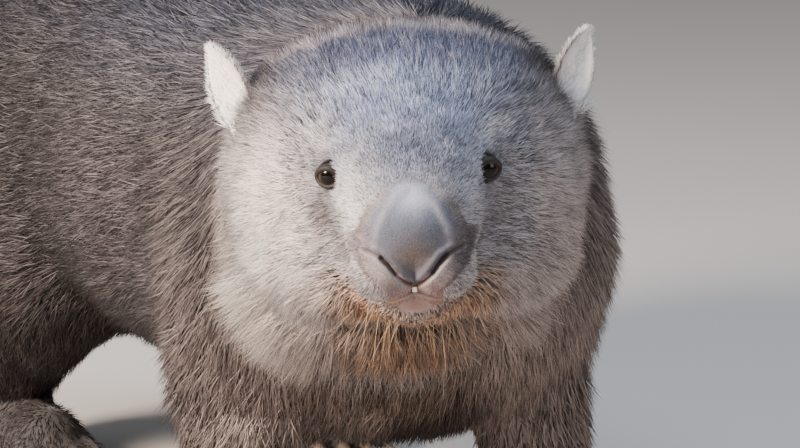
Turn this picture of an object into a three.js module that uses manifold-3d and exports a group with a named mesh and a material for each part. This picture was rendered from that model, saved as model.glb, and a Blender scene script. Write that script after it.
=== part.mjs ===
// A life-size standing model of a southern hairy-nosed wombat, in millimetres, +Z up.
// The animal faces -Y, its right side is -X, and its head is turned a little to its right.
// The surface is the outside of the coat. Origin: centre of the bounding box, on the floor.
import * as THREE from 'three';
import { mergeVertices } from 'three/addons/utils/BufferGeometryUtils.js';
import Module from 'manifold-3d';

const wasm = await Module();
wasm.setup();

// Driving dimensions of the body
const BODY_HALF_WIDTH = 147;
const BACK_HEIGHT = 378;
const BELLY_HEIGHT = 93;
const SHOULDER_Y = 15;
const BARREL_Y = 200;
const RUMP_Y = 392;
const LEG_SPREAD = 99;
const WRIST_HEIGHT = 42;
const SOLE_SINK = 7;

// Driving dimensions of the head, whose own frame has its origin midway between the eyes
const HEAD_PLACE = [-96, -222, 300];
const HEAD_YAW = -23.4;
const HEAD_PITCH = 10.5;
const HEAD_ROLL = -2.6;
const HEAD_HALF_WIDTH = 95;
const EYE_SPACING = 89;
const EYE_RADIUS = 8.5;
const EYE_PROUD = 2.4;
const NOSE_REACH = 86;
const EAR_LENGTH = 54;
const EAR_HALF_WIDTH = 12.5;

// Room between touching pieces
const GAP = 0.3;
const FAR = 400;

// Grid steps, coarse on the barrel and fine on the face
const TORSO_STEP = 32;
const NECK_STEP = 20;
const LEG_STEP = 18.5;
const PAW_STEP = 11;
const HEAD_STEP = 10.5;
const TAIL_STEP = 10;

const radians = THREE.MathUtils.degToRad;
const mix = THREE.MathUtils.lerp;
const clamp = THREE.MathUtils.clamp;
const SIDES = [{ name: 'right', sign: -1 }, { name: 'left', sign: 1 }];

// Fields: each is a function of a point that gives the distance to a soft shape, below 0 inside it

const blob = (at, size, power = 2) => (p) => {
  let sum = 0;
  const slope = [0, 0, 0];
  for (let i = 0; i < 3; i += 1) {
    const r = Math.abs(p[i] - at[i]) / size[i];
    sum += r ** power;
    slope[i] = r ** (power - 1) / size[i];
  }
  const reach = sum ** (1 / power);
  if (reach < 1e-6) return -Math.min(...size);
  return (reach - 1) / (Math.hypot(...slope) * reach ** (1 - power));
};

// A chain of round cones through the given points, each [x, y, z, radius]
const limb = (points) => (p) => {
  let nearest = Infinity;
  for (let i = 1; i < points.length; i += 1) {
    const [a, b] = [points[i - 1], points[i]];
    const along = [b[0] - a[0], b[1] - a[1], b[2] - a[2]];
    const from = [p[0] - a[0], p[1] - a[1], p[2] - a[2]];
    const dot = along[0] * from[0] + along[1] * from[1] + along[2] * from[2];
    const t = clamp(dot / (along[0] ** 2 + along[1] ** 2 + along[2] ** 2), 0, 1);
    const away = Math.hypot(from[0] - t * along[0], from[1] - t * along[1], from[2] - t * along[2]);
    nearest = Math.min(nearest, away - mix(a[3], b[3], t));
  }
  return nearest;
};

const softMin = (a, b, blend) => {
  const h = Math.max(blend - Math.abs(a - b), 0) / blend;
  return Math.min(a, b) - h * h * blend / 4;
};

// Joins shapes in order; each is [shape, blend], and blend is how far the seam is rounded
const softUnion = (shapes) => (p) => shapes.reduce(
  (found, [shape, blend]) => (found === null ? shape(p) : softMin(found, shape(p), blend)), null);

const mirrored = (shape) => (p) => shape([Math.abs(p[0]), p[1], p[2]]);

// The head's own frame: a is lateral, b runs back and c is up, as x, y and z are in the body's

const headTurn = new THREE.Euler(radians(HEAD_PITCH), radians(HEAD_ROLL), radians(HEAD_YAW), 'ZXY');
const headMatrix = new THREE.Matrix4().makeRotationFromEuler(headTurn).setPosition(...HEAD_PLACE);
const headInverse = headMatrix.clone().invert();
const toHead = (p) => new THREE.Vector3(...p).applyMatrix4(headInverse).toArray();

const headField = softUnion([
  [blob([0, 66, -4], [HEAD_HALF_WIDTH - 2, 72, 54], 2.5), 0],
  [mirrored(blob([51, 52, -38], [HEAD_HALF_WIDTH - 45, 58, 52], 2.1)), 22],
  [blob([0, -4, -2], [39, 50, 30], 2.2), 32],
  [blob([0, 56 - NOSE_REACH, -17], [37, 54, 34], 2.5), 28],
  [mirrored(blob([42, 26, -64], [42, 46, 32])), 26],
  [mirrored(blob([EYE_SPACING / 2 - 3, 12, 0], [15, 13, 15])), 10],
  [mirrored(blob([15, 21 - NOSE_REACH, -40], [19, 20, 17])), 8],
  [blob([0, -36, -60], [26, 34, 18]), 10],
  [blob([0, 22, -62], [58, 62, 28]), 26],
]);

// Torso, neck, legs and tail

const torsoField = softUnion([
  [blob([0, SHOULDER_Y, 222], [BODY_HALF_WIDTH - 13, 132, 136], 2.3), 0],
  [blob([0, BARREL_Y, (BACK_HEIGHT + BELLY_HEIGHT) / 2],
    [BODY_HALF_WIDTH, 215, (BACK_HEIGHT - BELLY_HEIGHT) / 2], 2.3), 60],
  [blob([0, RUMP_Y, BACK_HEIGHT - 144], [BODY_HALF_WIDTH - 3, 148, 142], 2.3), 60],
]);

const neckField = limb([[-4, 6, 234, 114], [-44, -86, 254, 102], [-66, -150, 280, 80]]);

const foreLeg = (side) => limb([
  [side * (LEG_SPREAD - 10), 6, 196, 62],
  [side * LEG_SPREAD, 18, 128, 50],
  [side * LEG_SPREAD, -4, WRIST_HEIGHT + 12, 38],
  [side * (LEG_SPREAD - 2), -12, WRIST_HEIGHT - 10, 36],
]);

const forePaw = (side) => {
  const x = side * (LEG_SPREAD - 4);
  const toes = [-2, -1, 0, 1, 2].map((n) => [limb([
    [x + n * 11, -30, 22, 13],
    [x + n * 15, -62 + 5 * Math.abs(n), 13, 9.5],
  ]), 7]);
  return softUnion([[blob([x, -24, 20], [38, 42, 27]), 0], ...toes]);
};

// How far each hind foot is set forward of the hip: the right one is taking a step
const HIND_STEP = { right: -12, left: 14 };

const hindLeg = (side, step) => softUnion([
  [blob([side * (LEG_SPREAD - 4), RUMP_Y - 4 - step * 0.25, 182], [62, 96, 104]), 0],
  [limb([
    [side * (LEG_SPREAD + 8), RUMP_Y - 58 - step * 0.6, 138, 54],
    [side * (LEG_SPREAD + 6), RUMP_Y + 22 - step, 58, 34],
    [side * (LEG_SPREAD + 4), RUMP_Y + 22 - step, 30, 27],
  ]), 30],
]);

const hindPaw = (side, step) => {
  const x = side * (LEG_SPREAD + 4);
  const heel = RUMP_Y + 34 - step;
  const toes = [-1.5, -0.5, 0.5, 1.5].map((n) => [limb([
    [x + n * 13, heel - 84, 18, 12],
    [x + n * 16, heel - 118 + 5 * Math.abs(n), 12, 9],
  ]), 7]);
  return softUnion([
    [limb([[x, heel - 14, 22, 25], [x, heel - 74, 20, 29]]), 0],
    ...toes,
  ]);
};

const bodyField = (p) => {
  let found = softMin(torsoField(p), neckField(p), 50);
  for (const { name, sign } of SIDES) {
    found = softMin(found, softMin(foreLeg(sign)(p), forePaw(sign)(p), 12), 34);
    const step = HIND_STEP[name];
    found = softMin(found, softMin(hindLeg(sign, step)(p), hindPaw(sign, step)(p), 12), 34);
  }
  return softMin(found, headField(toHead(p)), 26);
};

const TAIL_ROOT = [0, RUMP_Y + 128, 214, 19];
const TAIL_TIP = [0, RUMP_Y + 168, 184, 10];
const rearField = softUnion([[bodyField, 0], [limb([TAIL_ROOT, TAIL_TIP]), 14]]);

// From a field to a closed mesh: each grid cell that the surface crosses gets one vertex for each
// sheet in it, moved onto the surface, and each grid edge that goes from inside to outside gets
// one square between the four cells round it

const gradient = (field, p, reach = 0.5) => {
  const slope = [0, 1, 2].map((axis) => {
    const [ahead, behind] = [[...p], [...p]];
    ahead[axis] += reach;
    behind[axis] -= reach;
    return (field(ahead) - field(behind)) / (2 * reach);
  });
  return new THREE.Vector3(...slope);
};

const settle = (field, p) => {
  for (let round = 0; round < 4; round += 1) {
    const slope = gradient(field, p);
    const move = -field(p) / Math.max(slope.lengthSq(), 0.2);
    p = [p[0] + slope.x * move, p[1] + slope.y * move, p[2] + slope.z * move];
  }
  return p;
};

// The 12 edges of a cell, each from a corner along an axis; bit n of a corner is its side on axis n
const CELL_EDGES = [];
for (let corner = 0; corner < 8; corner += 1) {
  [0, 1, 2].filter((axis) => !((corner >> axis) & 1))
    .forEach((axis) => CELL_EDGES.push({ corner, axis, end: corner | (1 << axis) }));
}
const CELL_FACES = [0, 1, 2].flatMap((normal) => [0, 1].map((side) => CELL_EDGES.filter(
  ({ corner, axis }) => axis !== normal && ((corner >> normal) & 1) === side)));

// The crossed edges of a cell in groups, one for each sheet of the surface
function sheetsOf(isInside) {
  const crossed = CELL_EDGES.filter(({ corner, end }) => isInside[corner] !== isInside[end]);
  const group = new Map(crossed.map((edge, i) => [edge, i]));
  const innerCorner = ({ corner, end }) => (isInside[corner] ? corner : end);
  for (const face of CELL_FACES) {
    const found = face.filter((edge) => group.has(edge));
    found.forEach((first, i) => found.slice(i + 1).forEach((second) => {
      if (found.length === 2 || innerCorner(first) === innerCorner(second)) {
        const [kept, dropped] = [group.get(first), group.get(second)];
        group.forEach((n, edge) => group.set(edge, n === dropped ? kept : n));
      }
    }));
  }
  return [...new Set(group.values())].map((n) => crossed.filter((edge) => group.get(edge) === n));
}

function surfaceOf(field, low, high, step) {
  const boxed = (p) => Math.max(field(p), ...p.map((v, i) => Math.max(low[i] + step - v, v - high[i] + step)));
  const count = low.map((v, i) => Math.ceil((high[i] - v) / step) + 1);
  const stride = [1, count[0], count[0] * count[1]];
  const index = (n, axis) => Math.floor(n / stride[axis]) % count[axis];
  const place = (n) => [0, 1, 2].map((axis) => low[axis] + step * index(n, axis));
  const values = Float64Array.from({ length: count[0] * count[1] * count[2] }, (_, n) => boxed(place(n)));

  const side = (corner, axis) => (corner >> axis) & 1;
  const offsets = [0, 1, 2, 3, 4, 5, 6, 7].map(
    (corner) => stride.reduce((sum, size, axis) => sum + side(corner, axis) * size, 0));
  const vertices = [];
  const vertexAt = new Map();
  for (let n = 0; n < values.length - offsets[7]; n += 1) {
    const isInside = offsets.map((offset) => values[n + offset] < 0);
    const isCrossed = isInside.includes(true) && isInside.includes(false);
    if (isCrossed && [0, 1, 2].every((axis) => index(n, axis) < count[axis] - 1)) {
      for (const sheet of sheetsOf(isInside)) {
        const middle = place(n);
        for (const { corner, axis, end } of sheet) {
          const [from, to] = [values[n + offsets[corner]], values[n + offsets[end]]];
          const share = step / sheet.length;
          [0, 1, 2].forEach((i) => {
            middle[i] += share * (side(corner, i) + (i === axis ? from / (from - to) : 0));
          });
          vertexAt.set(`${n} ${corner} ${axis}`, vertices.length / 3);
        }
        vertices.push(...settle(boxed, middle));
      }
    }
  }

  const triangles = [];
  for (let axis = 0; axis < 3; axis += 1) {
    const [u, v] = [(axis + 1) % 3, (axis + 2) % 3];
    const around = [[0, 0], [1, 0], [1, 1], [0, 1]];
    for (let n = 0; n < values.length - stride[axis]; n += 1) {
      const starts = values[n] < 0;
      if (starts !== values[n + stride[axis]] < 0) {
        const ring = around.map(([du, dv]) => vertexAt.get(
          `${n - du * stride[u] - dv * stride[v]} ${(du << u) | (dv << v)} ${axis}`));
        if (!starts) ring.reverse();
        const [p, q, r, s] = ring.map((k) => new THREE.Vector3().fromArray(vertices, 3 * k));
        if (p.distanceTo(r) < q.distanceTo(s)) {
          triangles.push(ring[0], ring[1], ring[2], ring[0], ring[2], ring[3]);
        } else {
          triangles.push(ring[0], ring[1], ring[3], ring[1], ring[2], ring[3]);
        }
      }
    }
  }
  return solidFromLists(vertices, triangles);
}

// Solids

function solidFromLists(vertices, triangles) {
  const vertProperties = new Float32Array(vertices);
  return new wasm.Manifold(new wasm.Mesh({ numProp: 3, vertProperties, triVerts: new Uint32Array(triangles) }));
}

function solidOf(geometry, matrix = new THREE.Matrix4()) {
  const bare = geometry.index ? geometry.toNonIndexed() : geometry.clone();
  bare.deleteAttribute('normal');
  bare.deleteAttribute('uv');
  const merged = mergeVertices(bare.applyMatrix4(matrix), 1e-3);
  return solidFromLists(merged.attributes.position.array, merged.index.array);
}

const boxBetween = (low, high, matrix) => {
  const size = high.map((v, i) => v - low[i]);
  const middle = high.map((v, i) => (v + low[i]) / 2);
  return solidOf(new THREE.BoxGeometry(...size).translate(...middle), matrix);
};

// A flat outline of [u, w] points, pushed along the third axis v from start to end.
// In the head's frame and the body's, u is x, w is z and v is y.
function prism(outline, start, end, matrix) {
  const shape = new THREE.Shape(outline.map(([u, w]) => new THREE.Vector2(u, w)));
  const geometry = new THREE.ExtrudeGeometry(shape, { depth: end - start, bevelEnabled: false });
  geometry.rotateX(Math.PI / 2).translate(0, end, 0);
  return solidOf(geometry, matrix);
}

const largest = (solid) => solid.decompose().sort((a, b) => b.volume() - a.volume())[0];

// Rings of points, each the same count, joined into a closed skin. Both end rings are closed by
// pairing their first half with their second, which suits round rings and crescents alike.
function loft(rings, matrix) {
  const count = rings[0].length;
  const vertices = rings.flat(2);
  const triangles = [];
  for (let r = 0; r + 1 < rings.length; r += 1) {
    for (let k = 0; k < count; k += 1) {
      const [a, b] = [r * count + k, r * count + ((k + 1) % count)];
      triangles.push(a, b, b + count, a, b + count, a + count);
    }
  }
  [0, rings.length - 1].forEach((ring) => {
    for (let k = 0; k < count / 2 - 1; k += 1) {
      const four = [k, k + 1, count - 2 - k, count - 1 - k].map((n) => ring * count + n);
      const pair = [[four[0], four[2], four[1]], [four[0], four[3], four[2]]];
      pair.forEach((t) => triangles.push(...(ring ? [...t].reverse() : t)));
    }
  });
  const used = triangles.filter((_, i) => {
    const t = triangles.slice(i - (i % 3), i - (i % 3) + 3);
    return new Set(t).size === 3;
  });
  const made = solidFromLists(vertices, used);
  return matrix ? made.transform(matrix.elements) : made;
}

// Ears: leaf-shaped cups that taper to a point, leaning out and back

const EAR_ROOT = [88, 58, 4];
const EAR_LEAN = [22, 32, 44];
const EAR_WALL = 4.2;
const EAR_CUP = 9;

function earSolid(side, room) {
  const root = new THREE.Vector3(side * EAR_ROOT[0], EAR_ROOT[1], EAR_ROOT[2]);
  const along = new THREE.Vector3(side * EAR_LEAN[0], EAR_LEAN[1], EAR_LEAN[2]).normalize();
  const opening = new THREE.Vector3(side * 0.45, -0.86, 0.1);
  const across = new THREE.Vector3().crossVectors(opening, along).normalize();
  const front = new THREE.Vector3().crossVectors(along, across).normalize();
  const steps = 8;
  const rows = 6;
  const rings = [];
  for (let i = 0; i <= steps; i += 1) {
    const t = i / steps;
    const half = EAR_HALF_WIDTH * (0.74 + 1.05 * t - 1.72 * t ** 2.4);
    const cup = EAR_CUP * (1 - 0.75 * t) * Math.min(1, half / EAR_HALF_WIDTH);
    const wall = EAR_WALL * (1 - 0.55 * t) + 5 * room;
    const spine = root.clone().addScaledVector(along, t * EAR_LENGTH - room * (i ? 0 : 1))
      .addScaledVector(front, -4 * t * (1 - t));
    const pointAt = (s, push) => spine.clone().addScaledVector(across, s * (half + room))
      .addScaledVector(front, cup * (s * s - 0.5) + push).toArray();
    const shares = Array.from({ length: rows }, (_, k) => 2 * k / (rows - 1) - 1);
    rings.push([
      ...shares.map((s) => pointAt(s, wall / 2)),
      ...shares.reverse().map((s) => pointAt(s * 0.97, -wall / 2)),
    ]);
  }
  const made = loft(rings, headMatrix);
  return made.volume() < 0 ? loft(rings.map((ring) => [...ring].reverse()), headMatrix) : made;
}

// Locks: flat tapered clumps of the longer hair that lies over the jowls and under the chin

const LOCK_LENGTH = 34;
const LOCK_WIDTH = 25;
const LOCK_THICKNESS = 5;
const LOCK_SEED = 11;

// A small repeating generator of numbers from 0 to 1
const randomFrom = (seed) => () => {
  seed = (seed * 1664525 + 1013904223) % 4294967296;
  return seed / 4294967296;
};

// A lock grows from root along grow and lies flat on the surface whose normal is face
function lockSolid(root, grow, face, length, width, bend) {
  const along = grow.clone().normalize();
  const across = new THREE.Vector3().crossVectors(along, face).normalize();
  const flat = new THREE.Vector3().crossVectors(across, along).normalize();
  const shape = [[-0.2, 0.8], [0.3, 1], [0.72, 0.7], [1, 0.12]];
  const rings = shape.map(([t, share]) => {
    const spine = root.clone().addScaledVector(along, t * length)
      .addScaledVector(across, bend * length * t * t);
    return [[-1, 0], [0, -1], [1, 0], [0, 1]].map(([w, h]) => spine.clone()
      .addScaledVector(across, w * share * width / 2)
      .addScaledVector(flat, h * share * LOCK_THICKNESS / 2).toArray());
  });
  const made = loft(rings, headMatrix);
  return made.volume() < 0 ? loft(rings.map((ring) => [...ring].reverse()), headMatrix) : made;
}

// Locks in a row round the head at depth b, from one angle to another, 0 being straight down
function fringe(random, b, fromAngle, toAngle, count, size) {
  return Array.from({ length: count }, (_, i) => {
    const angle = radians(mix(fromAngle, toAngle, i / (count - 1)) + 3 * (random() - 0.5));
    const inward = new THREE.Vector3(-Math.sin(angle), 0, Math.cos(angle));
    let p = inward.clone().multiplyScalar(-150).add(new THREE.Vector3(0, b + 5 * (random() - 0.5), -30));
    while (headField(p.toArray()) > -2) p = p.addScaledVector(inward, 1);
    const normal = gradient(headField, p.toArray()).normalize();
    const grow = new THREE.Vector3(0.4 * Math.sin(angle), 0.3, -1);
    grow.addScaledVector(normal, 0.26 - grow.dot(normal));
    const length = size * LOCK_LENGTH * (0.9 + 0.2 * random());
    return lockSolid(p, grow, normal, length, size * LOCK_WIDTH, 0.3 * (random() - 0.5));
  });
}

const jowlLocks = (random) => [
  ...fringe(random, 58, -96, -46, 5, 0.86),
  ...fringe(random, 58, 46, 96, 5, 0.86),
  ...fringe(random, 36, -74, -10, 6, 1),
  ...fringe(random, 36, 10, 74, 6, 1),
];
const chinLocks = (random) => fringe(random, -24, -36, 36, 5, 0.6);

// Eyes: balls set into the head just under its surface, with a lid ring round each

const EYE_OUTWARD = 0.7;

function eyePlace(side) {
  let p = [side * EYE_SPACING / 2, -120, 0];
  while (headField(p) > 0.05) p = [p[0], p[1] + Math.max(headField(p) * 0.5, 0.05), p[2]];
  const normal = new THREE.Vector3(side * EYE_OUTWARD, -1, 0.1).normalize();
  return { surface: new THREE.Vector3(...p), normal };
}

const eyeBall = (side, room) => {
  const { surface, normal } = eyePlace(side);
  const centre = surface.addScaledVector(normal, EYE_PROUD - EYE_RADIUS);
  return solidOf(new THREE.SphereGeometry(EYE_RADIUS + room, 14, 9).translate(...centre), headMatrix);
};

const LID_RADIUS = 7.6;
const LID_TUBE = 2.4;

const eyeLid = (side) => {
  const { surface, normal } = eyePlace(side);
  const ring = new THREE.TorusGeometry(LID_RADIUS, LID_TUBE, 6, 16).scale(1, 1.06, 1);
  const place = new THREE.Matrix4().lookAt(normal, new THREE.Vector3(), new THREE.Vector3(0, 0, 1))
    .setPosition(surface.addScaledVector(normal, -0.4));
  return solidOf(ring, headMatrix.clone().multiply(place));
};

// Nose pad, nostrils, cleft and mouth line: outlines on the front of the head, pushed back into it

const NOSE_OUTLINE = [[0, 12], [10, 8], [20, -4], [27, -19], [23, -25], [13, -31], [4, -40], [0, -44]];
const NOSE_DEPTH = 18;
const MOUTH_TOP = -49.5;
const MOUTH_LINE = [[0, MOUTH_TOP], [6, -51.5], [14, -55], [25, -58], [46, -61]];
const JAW_BACK = 2;

const bothSides = (half) => [...half, ...half.slice(1, -1).reverse().map(([u, w]) => [-u, w])];
const outward = (outline, room, middle) => outline.map(([u, w]) => {
  const away = new THREE.Vector2(u, w - middle);
  const grown = away.setLength(away.length() + room);
  return [grown.x, grown.y + middle];
});

const noseRegion = (room) => prism(
  outward(bothSides(NOSE_OUTLINE), room, -14), -140, NOSE_DEPTH - NOSE_REACH + room, headMatrix);

// Each nostril is a comma-shaped slit that runs from beside the pad down to the cleft
function slitBetween(points, width, from, to) {
  const upper = points.map(([u, w], i) => [u, w + width[i] / 2]);
  const lower = points.map(([u, w], i) => [u, w - width[i] / 2]).reverse();
  return prism([...upper, ...lower], from, to, headMatrix);
}

const nostril = (side) => {
  const line = NOSE_OUTLINE.slice(3, 8).map(([u, w]) => [side * (u + 0.4), w - 0.5]);
  const ordered = side > 0 ? line.reverse() : line;
  const width = [1.2, 2.4, 3.2, 2.6, 1];
  return slitBetween(ordered, side > 0 ? width.reverse() : width, -140, 10 - NOSE_REACH);
};

const cleft = () => prism(
  [[-0.8, -42], [0.8, -42], [2.1, MOUTH_TOP - 1.5], [-2.1, MOUTH_TOP - 1.5]], -140, 8 - NOSE_REACH, headMatrix);

const jawRegion = (room) => {
  const line = MOUTH_LINE.map(([u, w]) => [u, w + room]);
  const edge = 46 + room;
  return prism([...line.map(([u, w]) => [u > 45 ? edge : u, w]), [edge, -150], [-edge, -150],
    ...line.slice(1).reverse().map(([u, w]) => [u > 45 ? -edge : -u, w])], -140, JAW_BACK + room, headMatrix);
};

const mouthLine = () => {
  const half = MOUTH_LINE.slice(0, 4);
  const line = [...half.slice(1).reverse().map(([u, w]) => [-u, w]), ...half];
  return slitBetween(line, line.map((_, i) => 1.6 - 0.15 * Math.abs(i - 3)), -140, 26 - NOSE_REACH);
};

// The two upper front teeth show as one small pale edge in the cleft
const tooth = () => prism(
  [[-2, MOUTH_TOP + 3.4], [2, MOUTH_TOP + 3.4], [1.7, MOUTH_TOP - 1.4], [-1.7, MOUTH_TOP - 1.4]],
  11 - NOSE_REACH, 21 - NOSE_REACH, headMatrix);
const toothSocket = () => prism(
  [[-2.4, MOUTH_TOP + 3.8], [2.4, MOUTH_TOP + 3.8], [2.1, MOUTH_TOP - 1.8], [-2.1, MOUTH_TOP - 1.8]],
  7 - NOSE_REACH, 21.4 - NOSE_REACH, headMatrix);

// Claws: horn that tapers and curves down, rooted in the end of each toe

function clawSolid(root, heading, length, half, room) {
  const steps = 4;
  const sides = 6;
  const rings = [];
  for (let i = 0; i <= steps; i += 1) {
    const t = i / steps;
    const radius = half * (1 - 0.72 * t ** 1.5) + room;
    const reach = t * length - (i ? 0 : room);
    const x = root[0] + Math.sin(heading) * reach;
    const y = root[1] - Math.cos(heading) * reach;
    const z = root[2] - 0.16 * length * t ** 2;
    rings.push(Array.from({ length: sides }, (_, k) => {
      const turn = 2 * Math.PI * k / sides;
      const [wide, high] = [radius * Math.cos(turn), 0.8 * radius * Math.sin(turn)];
      return [x + Math.cos(heading) * wide, y + Math.sin(heading) * wide, z + high];
    }));
  }
  const made = loft(rings);
  return made.volume() < 0 ? loft(rings.map((ring) => [...ring].reverse())) : made;
}

const foreClaws = (side) => [-2, -1, 0, 1, 2].map((n) => ({
  root: [side * (LEG_SPREAD - 4) + n * 14.6, -57 + 5 * Math.abs(n), 11.5],
  heading: n * 0.1,
  length: 33 - 2 * Math.abs(n),
  half: 5.2,
}));

const hindClaws = (side, step) => [-1.5, -0.5, 0.5, 1.5].map((n) => ({
  root: [side * (LEG_SPREAD + 4) + n * 15.6, RUMP_Y + 34 - step - 112 + 5 * Math.abs(n), 11],
  heading: n * 0.08,
  length: 29 - Math.abs(n),
  half: 4.8,
}));

// Materials, taken from the photograph

const finish = (color, roughness, metalness = 0) => new THREE.MeshStandardMaterial({ color, roughness, metalness });
const FUR_GREY = finish(0x6f6763, 0.95);
const FUR_FACE = finish(0x948a86, 0.95);
const FUR_JAW = finish(0x9a7252, 0.95);
const FUR_LEG = finish(0x5e554f, 0.95);
const EAR_WHITE = finish(0xd8d2cb, 0.95);
const NOSE_VELVET = finish(0x9b9ba4, 0.8);
const EYE_BROWN = finish(0x120c09, 0.08);
const CLAW_HORN = finish(0x4a4038, 0.5);
const TOOTH_IVORY = finish(0xd9cba8, 0.4);

// Assembly: the whole body is parted with thin cuts along these planes

const pieces = [];
const addPiece = (name, solid, material) => pieces.push({ name, solid: largest(solid), material });

const NECK_BACK_Y = -78;
const HEAD_BACK = 92;
const headSide = (room) => boxBetween([-FAR, -FAR, -FAR], [FAR, HEAD_BACK - room, FAR], headMatrix);
const backSide = (room) => boxBetween([-FAR, HEAD_BACK + room, -FAR], [FAR, FAR * 2, FAR], headMatrix);
const floorAndUp = boxBetween([-FAR, -FAR, 0], [FAR, FAR * 2, FAR * 2]);

const foreLegRegion = (side, room) => prism(
  [[34, -20], [34, 96], [66, 116], [150, 236], [FAR, 236], [FAR, -20]]
    .map(([u, w]) => [side * (u - room), w + (w > 0 ? room : 0)]), -74 - room, 104 + room);
const hindLegRegion = (side, room) => prism(
  [[30, -20], [30, 98], [66, 128], [118, 250], [150, 290], [FAR, 290], [FAR, -20]]
    .map(([u, w]) => [side * (u - room), w + (w > 0 ? room : 0)]), 268 - room, 492 + room);
const tailAxis = new THREE.Vector3(0, TAIL_TIP[1] - TAIL_ROOT[1], TAIL_TIP[2] - TAIL_ROOT[2]).normalize();
const tailRegion = (room) => {
  const turn = new THREE.Quaternion().setFromUnitVectors(new THREE.Vector3(0, 1, 0), tailAxis);
  const matrix = new THREE.Matrix4().makeRotationFromQuaternion(turn)
    .setPosition(TAIL_ROOT[0], TAIL_ROOT[1] - 4, TAIL_ROOT[2] + 3);
  return solidOf(new THREE.CylinderGeometry(25 + room, 25 + room, 150 + 2 * room, 24).translate(0, 75, 0), matrix);
};

function buildHead() {
  const low = [-175, -355, 170];
  const high = [95, -88, 400];
  let head = surfaceOf(bodyField, low, high, HEAD_STEP).intersect(headSide(GAP / 2));
  const lids = SIDES.map(({ sign }) => eyeLid(sign));
  head = lids.reduce((whole, lid) => whole.add(lid), head);
  const random = randomFrom(LOCK_SEED);
  const locks = jowlLocks(random);
  let jaw = head.intersect(jawRegion(0)).subtract(mouthLine()).subtract(toothSocket());
  jaw = chinLocks(random).reduce((whole, lock) => whole.add(lock), jaw);
  const nose = head.intersect(noseRegion(0)).subtract(nostril(1)).subtract(nostril(-1));
  const cuts = [jawRegion(GAP), noseRegion(GAP), nostril(1), nostril(-1), cleft(), mouthLine(), toothSocket()];
  SIDES.forEach(({ sign }) => cuts.push(eyeBall(sign, 0.4), earSolid(sign, GAP)));
  head = cuts.reduce((whole, cut) => whole.subtract(cut), head);
  head = locks.reduce((whole, lock) => whole.add(lock), head);
  addPiece('head', head, FUR_FACE);
  addPiece('lower_jaw', jaw, FUR_JAW);
  addPiece('nose_pad', nose, NOSE_VELVET);
  addPiece('front_teeth', tooth(), TOOTH_IVORY);
  SIDES.forEach(({ name, sign }) => {
    addPiece(`eye_${name}`, eyeBall(sign, 0), EYE_BROWN);
    addPiece(`ear_${name}`, earSolid(sign, 0), EAR_WHITE);
  });
}

function buildNeck() {
  const neck = surfaceOf(bodyField, [-185, -285, 60], [165, -38, 420], NECK_STEP);
  const front = boxBetween([-FAR, -FAR, -FAR], [FAR, NECK_BACK_Y - GAP / 2, FAR * 2]);
  const cut = SIDES.reduce((whole, { sign }) => whole.subtract(earSolid(sign, GAP)), neck);
  addPiece('neck', cut.intersect(front).intersect(backSide(GAP / 2)), FUR_GREY);
}

function buildTorso() {
  let torso = surfaceOf(rearField, [-215, -180, 20], [215, 640, 440], TORSO_STEP);
  torso = torso.intersect(boxBetween([-FAR, NECK_BACK_Y + GAP / 2, -FAR], [FAR, FAR * 3, FAR * 2]));
  SIDES.forEach(({ sign }) => {
    torso = torso.subtract(foreLegRegion(sign, GAP)).subtract(hindLegRegion(sign, GAP));
  });
  addPiece('torso', torso.subtract(tailRegion(GAP)), FUR_GREY);
  const tail = surfaceOf(rearField, [-50, RUMP_Y + 80, 130], [50, RUMP_Y + 200, 270], TAIL_STEP);
  addPiece('tail', tail.intersect(tailRegion(0)), FUR_GREY);
}

function buildLeg(name, region, low, high, claws, ankle) {
  const whole = surfaceOf(bodyField, low, high, LEG_STEP).intersect(region);
  addPiece(`${name}`, whole.intersect(boxBetween([-FAR, -FAR, ankle + GAP / 2], [FAR, FAR * 2, FAR])), FUR_LEG);
  const pawHigh = [high[0], high[1], ankle + 3 * PAW_STEP];
  let paw = surfaceOf(bodyField, low, pawHigh, PAW_STEP).intersect(region).intersect(floorAndUp);
  paw = paw.intersect(boxBetween([-FAR, -FAR, -FAR], [FAR, FAR * 2, ankle - GAP / 2]));
  claws.forEach(({ root, heading, length, half }, i) => {
    paw = paw.subtract(clawSolid(root, heading, length, half, GAP));
    addPiece(`claw_${name}_${i + 1}`, clawSolid(root, heading, length, half, 0), CLAW_HORN);
  });
  addPiece(`paw_${name}`, paw, FUR_LEG);
}

buildHead();
buildNeck();
buildTorso();
SIDES.forEach(({ name, sign }) => {
  const span = (low, high) => (sign > 0 ? [low, high] : [-high, -low]);
  const [foreLow, foreHigh] = span(10, 190);
  buildLeg(`foreleg_${name}`, foreLegRegion(sign, 0), [foreLow, -130, -SOLE_SINK * 3],
    [foreHigh, 130, 270], foreClaws(sign), WRIST_HEIGHT);
  const [hindLow, hindHigh] = span(8, 195);
  buildLeg(`hindleg_${name}`, hindLegRegion(sign, 0), [hindLow, 225, -SOLE_SINK * 3],
    [hindHigh, 530, 325], hindClaws(sign, HIND_STEP[name]), WRIST_HEIGHT - 2);
});

const group = new THREE.Group();
const box = new THREE.Box3();
for (const { name, solid, material } of pieces) {
  const { vertProperties, triVerts } = solid.getMesh();
  const geometry = new THREE.BufferGeometry()
    .setAttribute('position', new THREE.BufferAttribute(vertProperties, 3))
    .setIndex(new THREE.BufferAttribute(triVerts, 1));
  geometry.computeVertexNormals();
  const mesh = new THREE.Mesh(geometry, material);
  mesh.name = name;
  box.expandByObject(mesh);
  group.add(mesh);
}
const middle = box.getCenter(new THREE.Vector3());
group.position.set(-middle.x, -middle.y, -box.min.z);

export default group;
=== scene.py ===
import bmesh
import bpy
import math
import numpy as np
from mathutils import Matrix, Vector


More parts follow.
